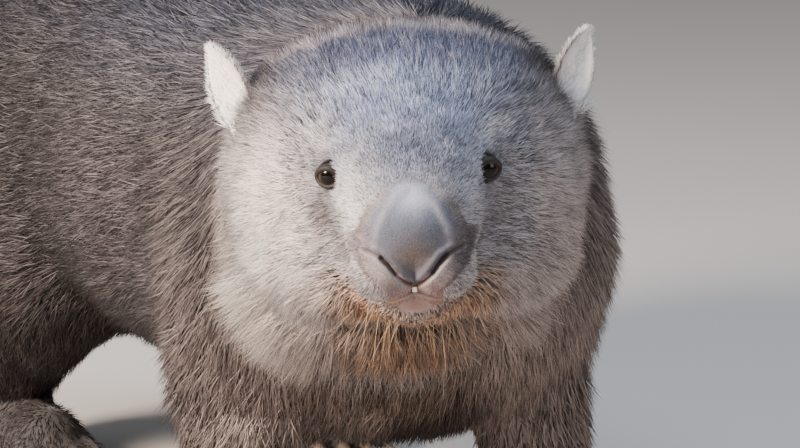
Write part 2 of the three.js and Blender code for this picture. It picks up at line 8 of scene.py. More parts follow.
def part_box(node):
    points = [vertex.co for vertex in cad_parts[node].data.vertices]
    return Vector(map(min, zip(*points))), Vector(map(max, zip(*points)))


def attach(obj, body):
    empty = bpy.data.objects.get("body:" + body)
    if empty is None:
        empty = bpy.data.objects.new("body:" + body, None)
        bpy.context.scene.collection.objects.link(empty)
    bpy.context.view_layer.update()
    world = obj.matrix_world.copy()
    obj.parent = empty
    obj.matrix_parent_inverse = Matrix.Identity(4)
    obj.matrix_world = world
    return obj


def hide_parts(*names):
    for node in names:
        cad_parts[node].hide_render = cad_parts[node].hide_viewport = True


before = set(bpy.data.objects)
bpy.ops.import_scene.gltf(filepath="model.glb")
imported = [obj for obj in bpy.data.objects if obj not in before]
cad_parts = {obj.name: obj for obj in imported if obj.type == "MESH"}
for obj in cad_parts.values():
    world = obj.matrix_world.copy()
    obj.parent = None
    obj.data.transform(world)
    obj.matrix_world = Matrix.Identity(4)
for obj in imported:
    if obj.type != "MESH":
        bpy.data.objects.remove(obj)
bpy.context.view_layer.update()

# Skin: the wombat's hide, one closed surface from the bare nose to the tail and the soles. A museum
# has it as tanned hide, glued over a carved body. Here it lies inside the form that the solids have,
# worked out in millimetres, by the depth of the coat.

MILLIMETRE = 0.001
SIDES = {"right": -1, "left": 1}
HEAD_PLACE = np.array([-96.0, -222.0, 300.0])
HEAD_AXES = np.array(Matrix.Rotation(math.radians(-23.4), 3, "Z")
                     @ Matrix.Rotation(math.radians(10.5), 3, "X")
                     @ Matrix.Rotation(math.radians(-2.6), 3, "Y"))

# A form is a function of points that gives the distance to a soft shape, below 0 inside it


def blob(p, at, size, power=2.0):
    """A ball stretched to half a width, depth and height, boxier as its power rises above 2."""
    r = np.abs(p - np.array(at, dtype=float)) / np.array(size, dtype=float) + 1e-9
    reach = (r ** power).sum(1) ** (1 / power)
    slope = np.linalg.norm(r ** (power - 1) / np.array(size, dtype=float), axis=1)
    return (reach - 1) / (slope * reach ** (1 - power))


def limb(p, points):
    """A chain of round rods through points, each given as a place and a radius."""
    nearest = np.full(len(p), 1e9)
    for a, b in zip(points, points[1:]):
        start = np.array(a[:3], dtype=float)
        along = np.array(b[:3], dtype=float) - start
        t = np.clip((p - start) @ along / (along @ along), 0, 1)
        away = np.linalg.norm(p - start - t[:, None] * along, axis=1)
        nearest = np.minimum(nearest, away - (a[3] + t * (b[3] - a[3])))
    return nearest


def soft_min(a, b, blend):
    """Two forms as one, with the seam between them rounded over a blend's width."""
    h = np.maximum(blend - np.abs(a - b), 0) / blend
    return np.minimum(a, b) - h * h * blend / 4


def to_head(p):
    return (p - HEAD_PLACE) @ HEAD_AXES


def from_head(q):
    return np.asarray(q, dtype=float) @ HEAD_AXES.T + HEAD_PLACE


def mirrored(q):
    return np.column_stack((np.abs(q[:, 0]), q[:, 1], q[:, 2]))


EYE_ASIDE = 44.5


def from_eye(q):
    return np.linalg.norm(mirrored(q) - np.array([EYE_ASIDE, 0, 0]), axis=1)


def head_form(q):
    m = mirrored(q)
    found = blob(q, (0, 66, -4), (93, 72, 54), 2.5)
    for places, at, size, power, blend in (
            (m, (51, 52, -38), (50, 58, 52), 2.1, 22),  # cheeks
            (q, (0, -4, -2), (39, 50, 30), 2.2, 32),  # bridge of the nose
            (q, (0, -30, -17), (37, 54, 34), 2.5, 28),  # muzzle
            (m, (42, 26, -64), (42, 46, 32), 2, 26),  # jowls
            (m, (41.5, 12, 0), (15, 13, 15), 2, 10),  # rims of the eyes
            (m, (15, -65, -40), (19, 20, 17), 2, 8),  # upper lips
            (q, (0, -36, -60), (26, 34, 18), 2, 10),  # lower lip
            (q, (0, 22, -62), (58, 62, 28), 2, 26)):  # throat
        found = soft_min(found, blob(places, at, size, power), blend)
    return found


def torso_form(p):
    found = blob(p, (0, 15, 222), (134, 132, 136), 2.3)
    found = soft_min(found, blob(p, (0, 200, 235.5), (147, 215, 142.5), 2.3), 60)
    found = soft_min(found, blob(p, (0, 392, 234), (144, 148, 142), 2.3), 60)
    neck = limb(p, [(-4, 6, 234, 114), (-44, -86, 254, 102), (-66, -150, 280, 80)])
    return soft_min(found, neck, 50)


FORE_PAW_ASIDE = 95
FORE_TOES = (-2, -1, 0, 1, 2)


def fore_limb(p, side):
    leg = limb(p, [(side * 89, 6, 196, 62), (side * 99, 18, 128, 50),
                   (side * 99, -4, 54, 38), (side * 97, -12, 32, 36)])
    x = side * FORE_PAW_ASIDE
    paw = blob(p, (x, -24, 20), (38, 42, 27))
    for n in FORE_TOES:
        toe = limb(p, [(x + n * 11, -30, 22, 13), (x + n * 15, -62 + 5 * abs(n), 13, 9.5)])
        paw = soft_min(paw, toe, 7)
    return soft_min(leg, paw, 12)


HIND_PAW_ASIDE = 103
HIND_TOES = (-1.5, -0.5, 0.5, 1.5)
HIND_STEP = {-1: -12, 1: 14}


def hind_limb(p, side):
    step = HIND_STEP[side]
    leg = blob(p, (side * 95, 388 - step * 0.25, 182), (62, 96, 104))
    shank = limb(p, [(side * 107, 334 - step * 0.6, 138, 54), (side * 105, 414 - step, 58, 34),
                     (side * HIND_PAW_ASIDE, 414 - step, 30, 27)])
    leg = soft_min(leg, shank, 30)
    x = side * HIND_PAW_ASIDE
    heel = 426 - step
    paw = limb(p, [(x, heel - 14, 22, 25), (x, heel - 74, 20, 29)])
    for n in HIND_TOES:
        toe = limb(p, [(x + n * 13, heel - 84, 18, 12), (x + n * 16, heel - 118 + 5 * abs(n), 12, 9)])
        paw = soft_min(paw, toe, 7)
    return soft_min(leg, paw, 12)


def outer_form(p):
    found = torso_form(p)
    for side in SIDES.values():
        found = soft_min(found, fore_limb(p, side), 34)
        found = soft_min(found, hind_limb(p, side), 34)
    found = soft_min(found, head_form(to_head(p)), 26)
    return soft_min(found, limb(p, [(0, 520, 214, 19), (0, 560, 184, 10)]), 14)


def ramp(value, low, high):
    """A smooth rise from 0 at the low value to 1 at the high one."""
    t = np.clip((value - low) / (high - low), 0, 1)
    return t * t * (3 - 2 * t)


def coat_depth(p):
    """How deep the coat is: velvet on the nose, short on the face and feet, deepest on the body."""
    q = to_head(p)
    m = np.abs(q[:, 0])
    back = ramp(q[:, 1], -60, 70)
    face = 1.6 + 7.5 * back + 3.0 * ramp(-q[:, 2], 20, 80)
    nose_pad = ramp(-q[:, 1], 44, 62) * ramp(30 - m, 0, 12)
    face = face * (1 - nose_pad) + 0.5 * nose_pad
    face = face * (0.35 + 0.65 * ramp(from_eye(q), 8, 24))
    body = 12.5 + 1.5 * np.sin(p[:, 1] / 60)
    body = body * (0.5 + 0.5 * ramp(p[:, 2], 40, 150))
    body = np.minimum(body, 3.0 + 9.0 * ramp(p[:, 2], 15, 75))
    body = body * (0.45 + 0.55 * ramp(p[:, 2], 0, 10))
    head = ramp(150 - q[:, 1], 20, 70) * ramp(230 - np.linalg.norm(q, axis=1), 0, 60)
    return np.maximum(face * head + body * (1 - head), 0.4)


def skin_form(p):
    return np.maximum(outer_form(p) + coat_depth(p), 0.4 - p[:, 2])


# The skin is grown on a grid of cells, settled onto its form, and made finer over the head

GRID = 5.5


def slope_of(field, p, reach=0.4):
    slope = np.zeros_like(p)
    for axis in range(3):
        step = np.zeros(3)
        step[axis] = reach
        slope[:, axis] = (field(p + step) - field(p - step)) / (2 * reach)
    return slope


def directions(v):
    return v / (np.linalg.norm(v, axis=1)[:, None] + 1e-9)


def settle(field, p, rounds=4):
    for _ in range(rounds):
        slope = slope_of(field, p)
        size = np.maximum((slope ** 2).sum(1), 0.2)
        p = p - slope * (field(p) / size)[:, None] * 0.9
    return p


def grow_surface(field, low, high, step):
    """Points and four-sided faces where a form's distance passes through 0."""
    axes = [np.arange(low[i], high[i] + step, step) for i in range(3)]
    count = [len(a) for a in axes]
    value = np.empty(count)
    for i, x in enumerate(axes[0]):
        y, z = np.meshgrid(axes[1], axes[2], indexing="ij")
        value[i] = field(np.column_stack((np.full(y.size, x), y.ravel(), z.ravel()))).reshape(y.shape)
    inside = value < 0

    def flat(ijk):
        return (ijk[:, 0] * count[1] + ijk[:, 1]) * count[2] + ijk[:, 2]

    total = np.zeros((value.size, 3))
    hits = np.zeros(value.size)
    quads = []
    for axis in range(3):
        one = np.eye(3, dtype=int)[axis]
        first = np.moveaxis(inside, axis, 0)[:-1]
        second = np.moveaxis(inside, axis, 0)[1:]
        found = np.moveaxis(first != second, 0, axis)
        at = np.argwhere(found)
        v0 = value[tuple(at.T)]
        v1 = value[tuple((at + one).T)]
        cross = at + one * (v0 / (v0 - v1))[:, None]
        u, v = (np.eye(3, dtype=int)[(axis + n) % 3] for n in (1, 2))
        ring = [flat(at), flat(at - u), flat(at - u - v), flat(at - v)]
        for cell in ring:
            for k in range(3):
                total[:, k] += np.bincount(cell, cross[:, k], value.size)
            hits += np.bincount(cell, minlength=value.size)
        ring = np.column_stack(ring)
        ring[v0 >= 0] = ring[v0 >= 0][:, ::-1]
        quads.append(ring)
    quads = np.concatenate(quads)
    used = np.flatnonzero(hits)
    number = np.full(value.size, -1)
    number[used] = np.arange(len(used))
    points = np.array(low) + step * total[used] / hits[used][:, None]
    return settle(field, points), number[quads]


points, quads = grow_surface(skin_form, (-170, -330, -8), (170, 585, 395), GRID)
skin_mesh = bpy.data.meshes.new("skin")
skin_mesh.from_pydata(points.tolist(), [], quads.tolist())
build = bmesh.new()
build.from_mesh(skin_mesh)


def refine(build, chosen):
    co = np.array([v.co for v in build.verts])
    keep = chosen(co)
    build.verts.ensure_lookup_table()
    edges = [e for e in build.edges if keep[e.verts[0].index] and keep[e.verts[1].index]]
    bmesh.ops.subdivide_edges(build, edges=edges, cuts=1, use_grid_fill=True)
    build.verts.index_update()


def over_face(p):
    q = to_head(p)
    return (q[:, 1] < 78) & (np.linalg.norm(q, axis=1) < 150)


def over_muzzle_and_eyes(p):
    q = to_head(p)
    return ((q[:, 1] < -36) & (np.abs(q[:, 0]) < 48) & (q[:, 2] > -80)) | (from_eye(q) < 19)


def over_nose(p):
    q = to_head(p)
    return (q[:, 1] < -46) & (np.abs(q[:, 0]) < 36) & (q[:, 2] < 24) & (q[:, 2] > -72)


for chosen in (over_face, over_muzzle_and_eyes, over_nose):
    refine(build, chosen)
bmesh.ops.triangulate(build, faces=build.faces)
build.to_mesh(skin_mesh)
build.free()
points = np.array([v.co for v in skin_mesh.vertices], dtype=float)
points = settle(skin_form, points, 3)

# The face's folds, pushed in or out along the skin: the nose pad with its raised rims, the two
# nostrils that run down to the cleft, the line of the mouth and the hollows that hold the eyes.


def from_line(a, c, line):
    """How far places on the face, a aside and c up, are from a line of straight pieces."""
    nearest = np.full(len(a), 1e9)
    for (a0, c0), (a1, c1) in zip(line, line[1:]):
        da, dc = a1 - a0, c1 - c0
        t = np.clip(((a - a0) * da + (c - c0) * dc) / (da * da + dc * dc), 0, 1)
        nearest = np.minimum(nearest, np.hypot(a - a0 - t * da, c - c0 - t * dc))
    return nearest


def trace(a, c, line, width):
    """1 on a line, fading to 0 over its width on both sides."""
    return np.exp(-(from_line(a, c, line) / width) ** 2)


NOSTRIL = [(26, -25), (22, -25.6), (18, -26.6), (13, -31), (8, -38), (3.5, -42.5), (0, -45)]
NOSTRIL_HOLE = [(17.5, -27.5), (13.5, -31), (9.5, -36)]
NOSTRIL_RIM = [(19, -22.5), (13, -26), (6, -35), (1, -41)]
CLEFT = [(0, -44.5), (0, -50)]
CLEFT_TOP = [(5, -41), (0, -45), (0, -50)]
MOUTH = [(0, -50), (5, -51.5), (12, -54.5), (22, -57), (36, -58)]
PAD_RIM = [(0, 9), (8, 4.5), (13, 0), (18.5, -10.5), (21, -21)]
PAD_HOLLOW = [(21, -1), (25.5, -9), (27, -17)]
LIP_FOLD = [(29, -20), (27, -32), (15, -44)]


def from_pad(a, c):
    """How far outside the nose pad's outline a place is, below 0 on the pad."""
    wide = np.interp(c, (-45, -38, -31, -25, -19, -4, 8, 12), (0, 7, 14, 23, 27, 21, 10, 0))
    edge = a - wide
    return np.where(c > 8, np.maximum(edge, c - 11), np.where(c < -40, np.maximum(edge, -44 - c), edge))


q = to_head(points)
a, c = np.abs(q[:, 0]), q[:, 2]
front = ramp(-q[:, 1], 46, 60)
push = np.zeros(len(points))
for height, line, width in ((-2.2, NOSTRIL, 1.1), (-3.0, NOSTRIL_HOLE, 1.3), (-2.4, CLEFT, 1.2),
                            (-2.8, MOUTH, 1.3), (1.2, PAD_RIM, 2.8), (-0.9, PAD_HOLLOW, 3.0),
                            (1.0, NOSTRIL_RIM, 1.9), (1.0, LIP_FOLD, 3.0)):
    push += front * height * trace(a, c, line, width)
points = points + directions(slope_of(skin_form, points)) * push[:, None]


def unit(v):
    return np.asarray(v, dtype=float) / np.linalg.norm(v)


EYE_OUT = unit((0.7, -1.0, 0.1))
EYE_FACING = unit((0.42, -1.0, 0.08))
EYE_RADIUS = 8.5
EYE_PROUD = 2.4


def eye_surface():
    """The place in front of the eye where the coat's outside is."""
    place = np.array([EYE_ASIDE, -40.0, 0.0])
    while head_form(place[None])[0] > 0.02:
        place[1] += 0.02
    return place


EYE_CENTRE = eye_surface() + EYE_OUT * (EYE_PROUD - EYE_RADIUS)
q = to_head(points)
for side in SIDES.values():
    flip = np.array([side, 1, 1])
    facing = EYE_FACING * flip
    away = q - EYE_CENTRE * flip
    along = away @ facing
    across = np.linalg.norm(away - along[:, None] * facing, axis=1)
    hollow = (1 - ramp(across, 5.6, 8.6)) * (along > 0)
    q = q - facing * (hollow * np.maximum(along - 3.0, 0))[:, None]
points = from_head(q)
points[:, 2] = np.maximum(points[:, 2], 0.3)

# The frame has the middle of the solids' base at its origin, and a front claw tells how far the
# form is from there
FORE_CLAW_ROOT = -57
paw_low, paw_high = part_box("claw_foreleg_left_3")
MOVE = np.array([(paw_low.x + paw_high.x) / 2 / MILLIMETRE - FORE_PAW_ASIDE,
                 paw_high.y / MILLIMETRE - FORE_CLAW_ROOT, 0.0])


def to_world(p):
    return (p + MOVE) * MILLIMETRE


skin_mesh.vertices.foreach_set("co", to_world(points).ravel())
skin_mesh.update()
skin_mesh.polygons.foreach_set("use_smooth", np.ones(len(skin_mesh.polygons), dtype=bool))


# Skin and coat share one set of colours: silver-grey forehead, cream cheeks, rust round the
# mouth, dark grizzled body. Light and shade are painted into them as well: the animal's right
# side lighter than its left, a cool tint of painted skylight on the top of the head and the back,
# a painted band of shade behind the crown and ears, painted shade under the chin, under the body,
# on the hind half and legs and in the folds of the nose and mouth, and a painted highlight on the nose

def painted(tone, *layers):
    """Lays colours over a tone, each by its own share from 0 to 1."""
    tone = np.array(tone)
    for colour, share in layers:
        tone = tone + (np.array(colour) - tone) * share[:, None]
    return tone


def near(q, at, size):
    return np.exp(-(((q - np.array(at)) / np.array(size)) ** 2).sum(1))


def wave(p, size, seed):
    """A soft uneven swell between about -1 and 1, of waves near one size in all directions."""
    turn = np.random.default_rng(seed)
    total = np.zeros(len(p))
    for _ in range(7):
        direction = turn.normal(size=3)
        total += np.sin(p @ (direction / np.linalg.norm(direction)) * 6.283 / (size * turn.uniform(0.7, 1.5))
                        + turn.uniform(0, 6.28))
    return total / 3.5


def markings_and_painted_light(p):
    q = to_head(p)
    m = mirrored(q)
    y, z = p[:, 1], p[:, 2]
    body = painted(
        (0.122, 0.104, 0.106),
        # the top of the back painted darker and bluish: painted shade with a cool tint of painted skylight
        ((0.058, 0.062, 0.088), 0.85 * ramp(z, 250, 350)),  # back
        # painted shade: the hind half darker towards the rear
        ((0.060, 0.052, 0.055), 0.6 * ramp(y, 120, 360)),  # rump
        ((0.27, 0.215, 0.195), 0.9 * ramp(-y, -60, 30) * ramp(250 - z, 0, 100)),  # forelegs
        # painted shade on the hind legs
        ((0.040, 0.032, 0.031), ramp(235 - z, 0, 130) * ramp(y, 60, 190)),  # hind legs
        # painted shade under the body, between the legs
        ((0.030, 0.021, 0.018), ramp(64 - np.abs(p[:, 0]), 0, 50) * ramp(175 - z, 0, 60)),  # belly
        # the throat's brown coat, darkened further by painted shadow under the chin
        ((0.075, 0.045, 0.030), ramp(80 - np.abs(p[:, 0] + 58), 0, 60)
         * ramp(-y, 20, 110) * ramp(z, 120, 150)))  # throat
    top = ramp(q[:, 2], 8, 30)
    face = painted(
        (0.31, 0.275, 0.27),
        # the silver-grey forehead, the bridge and the crown carry a cool tint of painted skylight from above
        ((0.255, 0.28, 0.40), np.clip(1.2 * near(q, (0, 4, 30), (58, 46, 36)), 0, 1)),  # forehead
        ((0.10, 0.115, 0.170), 0.85 * np.clip(1.2 * near(q, (0, -52, 16), (24, 26, 12)), 0, 1)),  # bridge
        ((0.085, 0.095, 0.155), 0.9 * ramp(q[:, 1] + 0.15 * m[:, 0], 8, 40) * top),  # crown
        ((0.46, 0.38, 0.37), 0.9 * ramp(q[:, 1], 54, 68) * top),  # behind the crown
        ((0.012, 0.009, 0.011),
         0.98 * np.clip(2.0 * near(m, (84, 50, 24), (20, 38, 18)), 0, 1)),  # inner base of the ears
        ((0.15, 0.135, 0.14), 0.75 * near(m, (62, 12, 14), (24, 34, 15))),  # temples
        ((0.60, 0.55, 0.54), 0.85 * near(m, (46, -4, 13), (11, 18, 5))),  # brows
        # painted light on the right of the face, where the warm light falls, and painted shade on the left:
        # cheeks and the sides of the nose
        ((0.88, 0.77, 0.73), 0.97 * near(q, (-86, 36, -42), (44, 66, 38))),  # right cheek
        ((0.42, 0.36, 0.35), 0.85 * near(q, (80, 30, -38), (36, 56, 42))),  # left cheek
        ((0.88, 0.82, 0.81), 0.97 * near(q, (-33, -54, -15), (9, 24, 22))),  # right of the nose
        ((0.56, 0.54, 0.57), 0.9 * near(q, (33, -54, -15), (8, 24, 22))),  # left of the nose
        ((0.11, 0.10, 0.105), 0.6 * near(m, (44, -38, -8), (8, 18, 14))),  # in front of the eyes
        ((0.24, 0.115, 0.055), 0.9 * near(m, (25, -44, -72), (17, 44, 13))),  # sides of the mouth
        ((0.27, 0.13, 0.062), 0.9 * near(m, (8, -34, -82), (26, 36, 18))),  # chin
        # painted light on the right jowl and painted shade on the left one
        ((0.80, 0.66, 0.58), 0.92 * near(q, (-86, 86, -92), (40, 60, 44))),  # right jowl
        ((0.36, 0.26, 0.22), 0.8 * near(q, (84, 80, -92), (40, 60, 34))),  # left jowl
        ((0.13, 0.062, 0.032), 0.85 * near(m, (0, 60, -124), (48, 50, 30))),  # under the jaw
        ((0.06, 0.05, 0.048), 0.8 * near(m, (EYE_ASIDE, -8, 0), (9, 10, 7))))  # round the eyes
    reach = 112 - 24 * ramp(q[:, 2], 5, 25) + 30 * ramp(m[:, 0], 60, 85) * ramp(-q[:, 2], -20, 20)
    span = np.linalg.norm(q, axis=1)
    head = ramp(reach - q[:, 1], 0, 22) * ramp(232 - span, 0, 44)
    tone = body * (1 - head[:, None]) + face * head[:, None]
    # painted shade in the fold behind the head, where it meets the neck
    shade_behind_head = ramp(q[:, 1] - reach, -14, 8) * ramp(44 + reach - q[:, 1], 0, 24) * ramp(232 - span, 0, 30)
    tone = painted(tone, ((0.085, 0.075, 0.090), 0.6 * shade_behind_head * ramp(q[:, 2], -70, 0)))
    return tone * (1 + 0.12 * wave(p, 55, 3) + 0.12 * wave(p, 16, 5))[:, None]


def bare_tone_and_painted_light(p):
    """The skin's colours, which show at the nose, the lips, the lids and the soles, with painted highlights
    and shade on the nose and lips.
    """
    q = to_head(p)
    m = mirrored(q)
    a, c = m[:, 0], m[:, 2]
    front = ramp(-q[:, 1], 44, 56)
    velvet = painted(
        (0.072, 0.082, 0.122),
        # painted highlight on the lit top of the nose
        ((0.33, 0.36, 0.46), 0.95 * near(q, (0, -70, 6), (10, 30, 9))),  # top of the nose
        # painted highlight along the raised rims of the pad
        ((0.21, 0.21, 0.245), 0.7 * trace(a, c, PAD_RIM, 2.4)),
        ((0.070, 0.050, 0.037), 0.9 * near(q, (0, -84, -27), (15, 14, 12))))  # above the nostrils
    pad = front * (1 - ramp(from_pad(a, c), -2.5, 1.5))
    lip = front * ramp(44 - a, 0, 12) * trace(a, c, LIP_FOLD, 8.0)
    eye = np.linalg.norm(m - EYE_CENTRE, axis=1)
    tone = painted(
        markings_and_painted_light(p) * 0.8 * (1 - pad[:, None]) + velvet * pad[:, None],
        # painted shade in the hollows beside the pad
        ((0.13, 0.105, 0.10), 0.7 * front * trace(a, c, PAD_HOLLOW, 3.0)),
        ((0.165, 0.120, 0.120), 0.8 * lip),
        # painted shade on the left half of the lip
        ((0.075, 0.058, 0.062), 0.75 * lip * ramp(q[:, 0], 4, 14)),  # left half of the lip
        ((0.23, 0.13, 0.12), 0.7 * front * near(m, (6, -76, -47), (8, 30, 4))),  # notch of the lip
        ((0.27, 0.135, 0.07), 0.85 * front * near(m, (17, -72, -55), (13, 30, 6.5))),  # sides of the lip
        # painted shade in the slits of the nostrils, the cleft and the line of the mouth
        ((0.050, 0.022, 0.019), front * trace(a, c, NOSTRIL, 1.0)),
        ((0.028, 0.014, 0.013), front * trace(a, c, NOSTRIL_HOLE, 1.2)),
        ((0.09, 0.022, 0.020), front * trace(a, c, CLEFT_TOP, 1.4)),
        ((0.08, 0.03, 0.025), front * trace(a, c, MOUTH, 1.2)),
        ((0.24, 0.13, 0.11), 0.9 * front * near(m, (0, -68, -59), (9, 30, 5.0))),  # lower lip
        ((0.045, 0.036, 0.035), 1 - ramp(eye, 9.5, 13.5)),
        ((0.06, 0.045, 0.04), ramp(7 - p[:, 2], 0, 5)))  # soles
    return np.clip(tone, 0.004, 1)


def set_tone(mesh, colours):
    layer = mesh.color_attributes.new(name="tone", type="FLOAT_COLOR", domain="POINT")
    rgba = np.ones((len(colours), 4), dtype=np.float32)
    rgba[:, :3] = np.clip(colours, 0.002, 1)
    layer.data.foreach_set("color", rgba.ravel())


class Wire:
    """A node's socket that can be added, multiplied and divided."""

    def __init__(self, finish, socket):
        self.finish = finish
        self.socket = socket

    def _sum(self, operation, first, second):
        return self.finish.add("ShaderNodeMath", {"operation": operation}, {0: first, 1: second})

    def __add__(self, other):
        return self._sum("ADD", self, other)

    def __mul__(self, other):
        return self._sum("MULTIPLY", self, other)

    def __truediv__(self, other):
        return self._sum("DIVIDE", self, other)

    __radd__ = __add__
    __rmul__ = __mul__


class Finish:
    """One material: add() makes a node, and the rest is set on its shader."""

    def __init__(self, name):
        self.material = bpy.data.materials.new(name)
        self.material.use_nodes = True
        self.tree = self.material.node_tree
        self.shader = self.tree.nodes["Principled BSDF"]
        self.place = self.add("ShaderNodeTexCoord", {}, {}, "Object")

    def add(self, kind, settings, sockets, output=0):
        node = self.tree.nodes.new(kind)
        for name, value in settings.items():
            if name == "stops":
                for stop, (at, colour) in zip(self._stops(node, len(value)), value):
                    stop.position = at
                    stop.color = (*colour, 1)
            else:
                setattr(node, name, value)
        for name, value in sockets.items():
            self.put(node.inputs[name], value)
        return Wire(self, node.outputs[output])

    def _stops(self, node, count):
        while len(node.color_ramp.elements) < count:
            node.color_ramp.elements.new(1.0)
        return node.color_ramp.elements

    def put(self, socket, value):
        if isinstance(value, Wire):
            self.tree.links.new(value.socket, socket)
        else:
            socket.default_value = value

    def set(self, **values):
        for name, value in values.items():
            self.put(self.shader.inputs[name.replace("_", " ")], value)

    def mesh_tone(self):
        return self.add("ShaderNodeVertexColor", {"layer_name": "tone"}, {})

    def noise(self, scale, detail=2.0):
        return self.add("ShaderNodeTexNoise", {}, {"Vector": self.place, "Scale": scale, "Detail": detail})

    def tinted(self, colour, factor, amount):
        """A colour made lighter and darker by an amount, as a factor goes from 0 to 1."""
        light = self.add("ShaderNodeMapRange", {},
                         {"Value": factor, "To Min": 1 - amount, "To Max": 1 + amount})
        grey = self.add("ShaderNodeCombineColor", {}, {"Red": light, "Green": light, "Blue": light})
        return self.add("ShaderNodeMix", {"data_type": "RGBA", "blend_type": "MULTIPLY"},
                        {"Factor": 1.0, "A": colour, "B": grey}, "Result")

    def bump(self, height, distance, strength):
        return self.add("ShaderNodeBump", {}, {"Height": height, "Distance": distance, "Strength": strength})


hide = Finish("velvet skin")
speckle = hide.noise(2600.0, 3.0)
grain = hide.noise(900.0, 3.0)
hide_tone = hide.mesh_tone()
hide.set(Base_Color=hide.tinted(hide_tone, speckle, 0.5), Roughness=0.62 + 0.2 * grain,
         Sheen_Weight=0.12, Normal=hide.bump(speckle * 0.6 + grain, 0.0007, 0.55))
set_tone(skin_mesh, bare_tone_and_painted_light(points))


def stand(name, mesh, material):
    piece = bpy.data.objects.new(name, mesh)
    bpy.context.collection.objects.link(piece)
    mesh.materials.append(material)
    return piece


skin = stand("skin", skin_mesh, hide.material)

SKIN_NODES = ["head", "lower_jaw", "nose_pad", "neck", "torso", "tail"]
for side in SIDES:
    SKIN_NODES += [f"foreleg_{side}", f"hindleg_{side}", f"paw_foreleg_{side}", f"paw_hindleg_{side}"]
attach(skin, "root")
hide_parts(*SKIN_NODES)


# Eyes: two glossy glass balls, dark brown with a round pupil, set deep in the hollows of the head.
# Each is held by its lids, a soft ring of bare dark skin that closes over the ball's edge.

LID_STEPS = 48
LID_ROUND = 12
LID_HALF_WIDTH = 6.0
LID_HALF_HEIGHT = 5.2
LID_THICKNESS = 1.35
UPPER_LID_EXTRA = 0.35

def tube_faces(rings, count, first=0):
    """Faces that join rings of points, numbered from the first, and cap both ends."""
    last = first + (rings - 1) * count
    faces = []
    for here in range(first, last, count):
        for j in range(count):
            k = (j + 1) % count
            faces.append((here + j, here + k, here + count + k, here + count + j))
    return faces + [tuple(reversed(range(first, first + count))), tuple(range(last, last + count))]


def closed_tube(rows, name):
    mesh = bpy.data.meshes.new(name)
    mesh.from_pydata(np.reshape(rows, (-1, 3)).tolist(), [], tube_faces(len(rows), len(rows[0])))
    return mesh


def place(name, mesh, material, slot, *nodes):
    """Turns the faces outward and sets the piece on the model."""
    build = bmesh.new()
    build.from_mesh(mesh)
    bmesh.ops.recalc_face_normals(build, faces=build.faces)
    build.to_mesh(mesh)
    build.free()
    for polygon in mesh.polygons:
        polygon.use_smooth = True
    piece = stand(name, mesh, material)
    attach(piece, "root")
    if nodes:
        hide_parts(*nodes)


def grained(name, colour, grain, contrast, rough, relief=0):
    """A material that follows one fine grain. Without a colour it takes the mesh's own."""
    finish = Finish(name)
    grain = finish.noise(*grain)
    finish.set(Base_Color=finish.tinted(colour or finish.mesh_tone(), grain, contrast),
               Roughness=rough[0] + rough[1] * grain)
    if relief:
        finish.set(Normal=finish.bump(grain, *relief))
    return finish


lid_skin = grained("eyelid skin", (0.015, 0.011, 0.010, 1), (1800.0, 3.0), 0.4, (0.5, 0.1), (0.0004, 0.5))
lid_skin.set(Specular_IOR_Level=0.25)

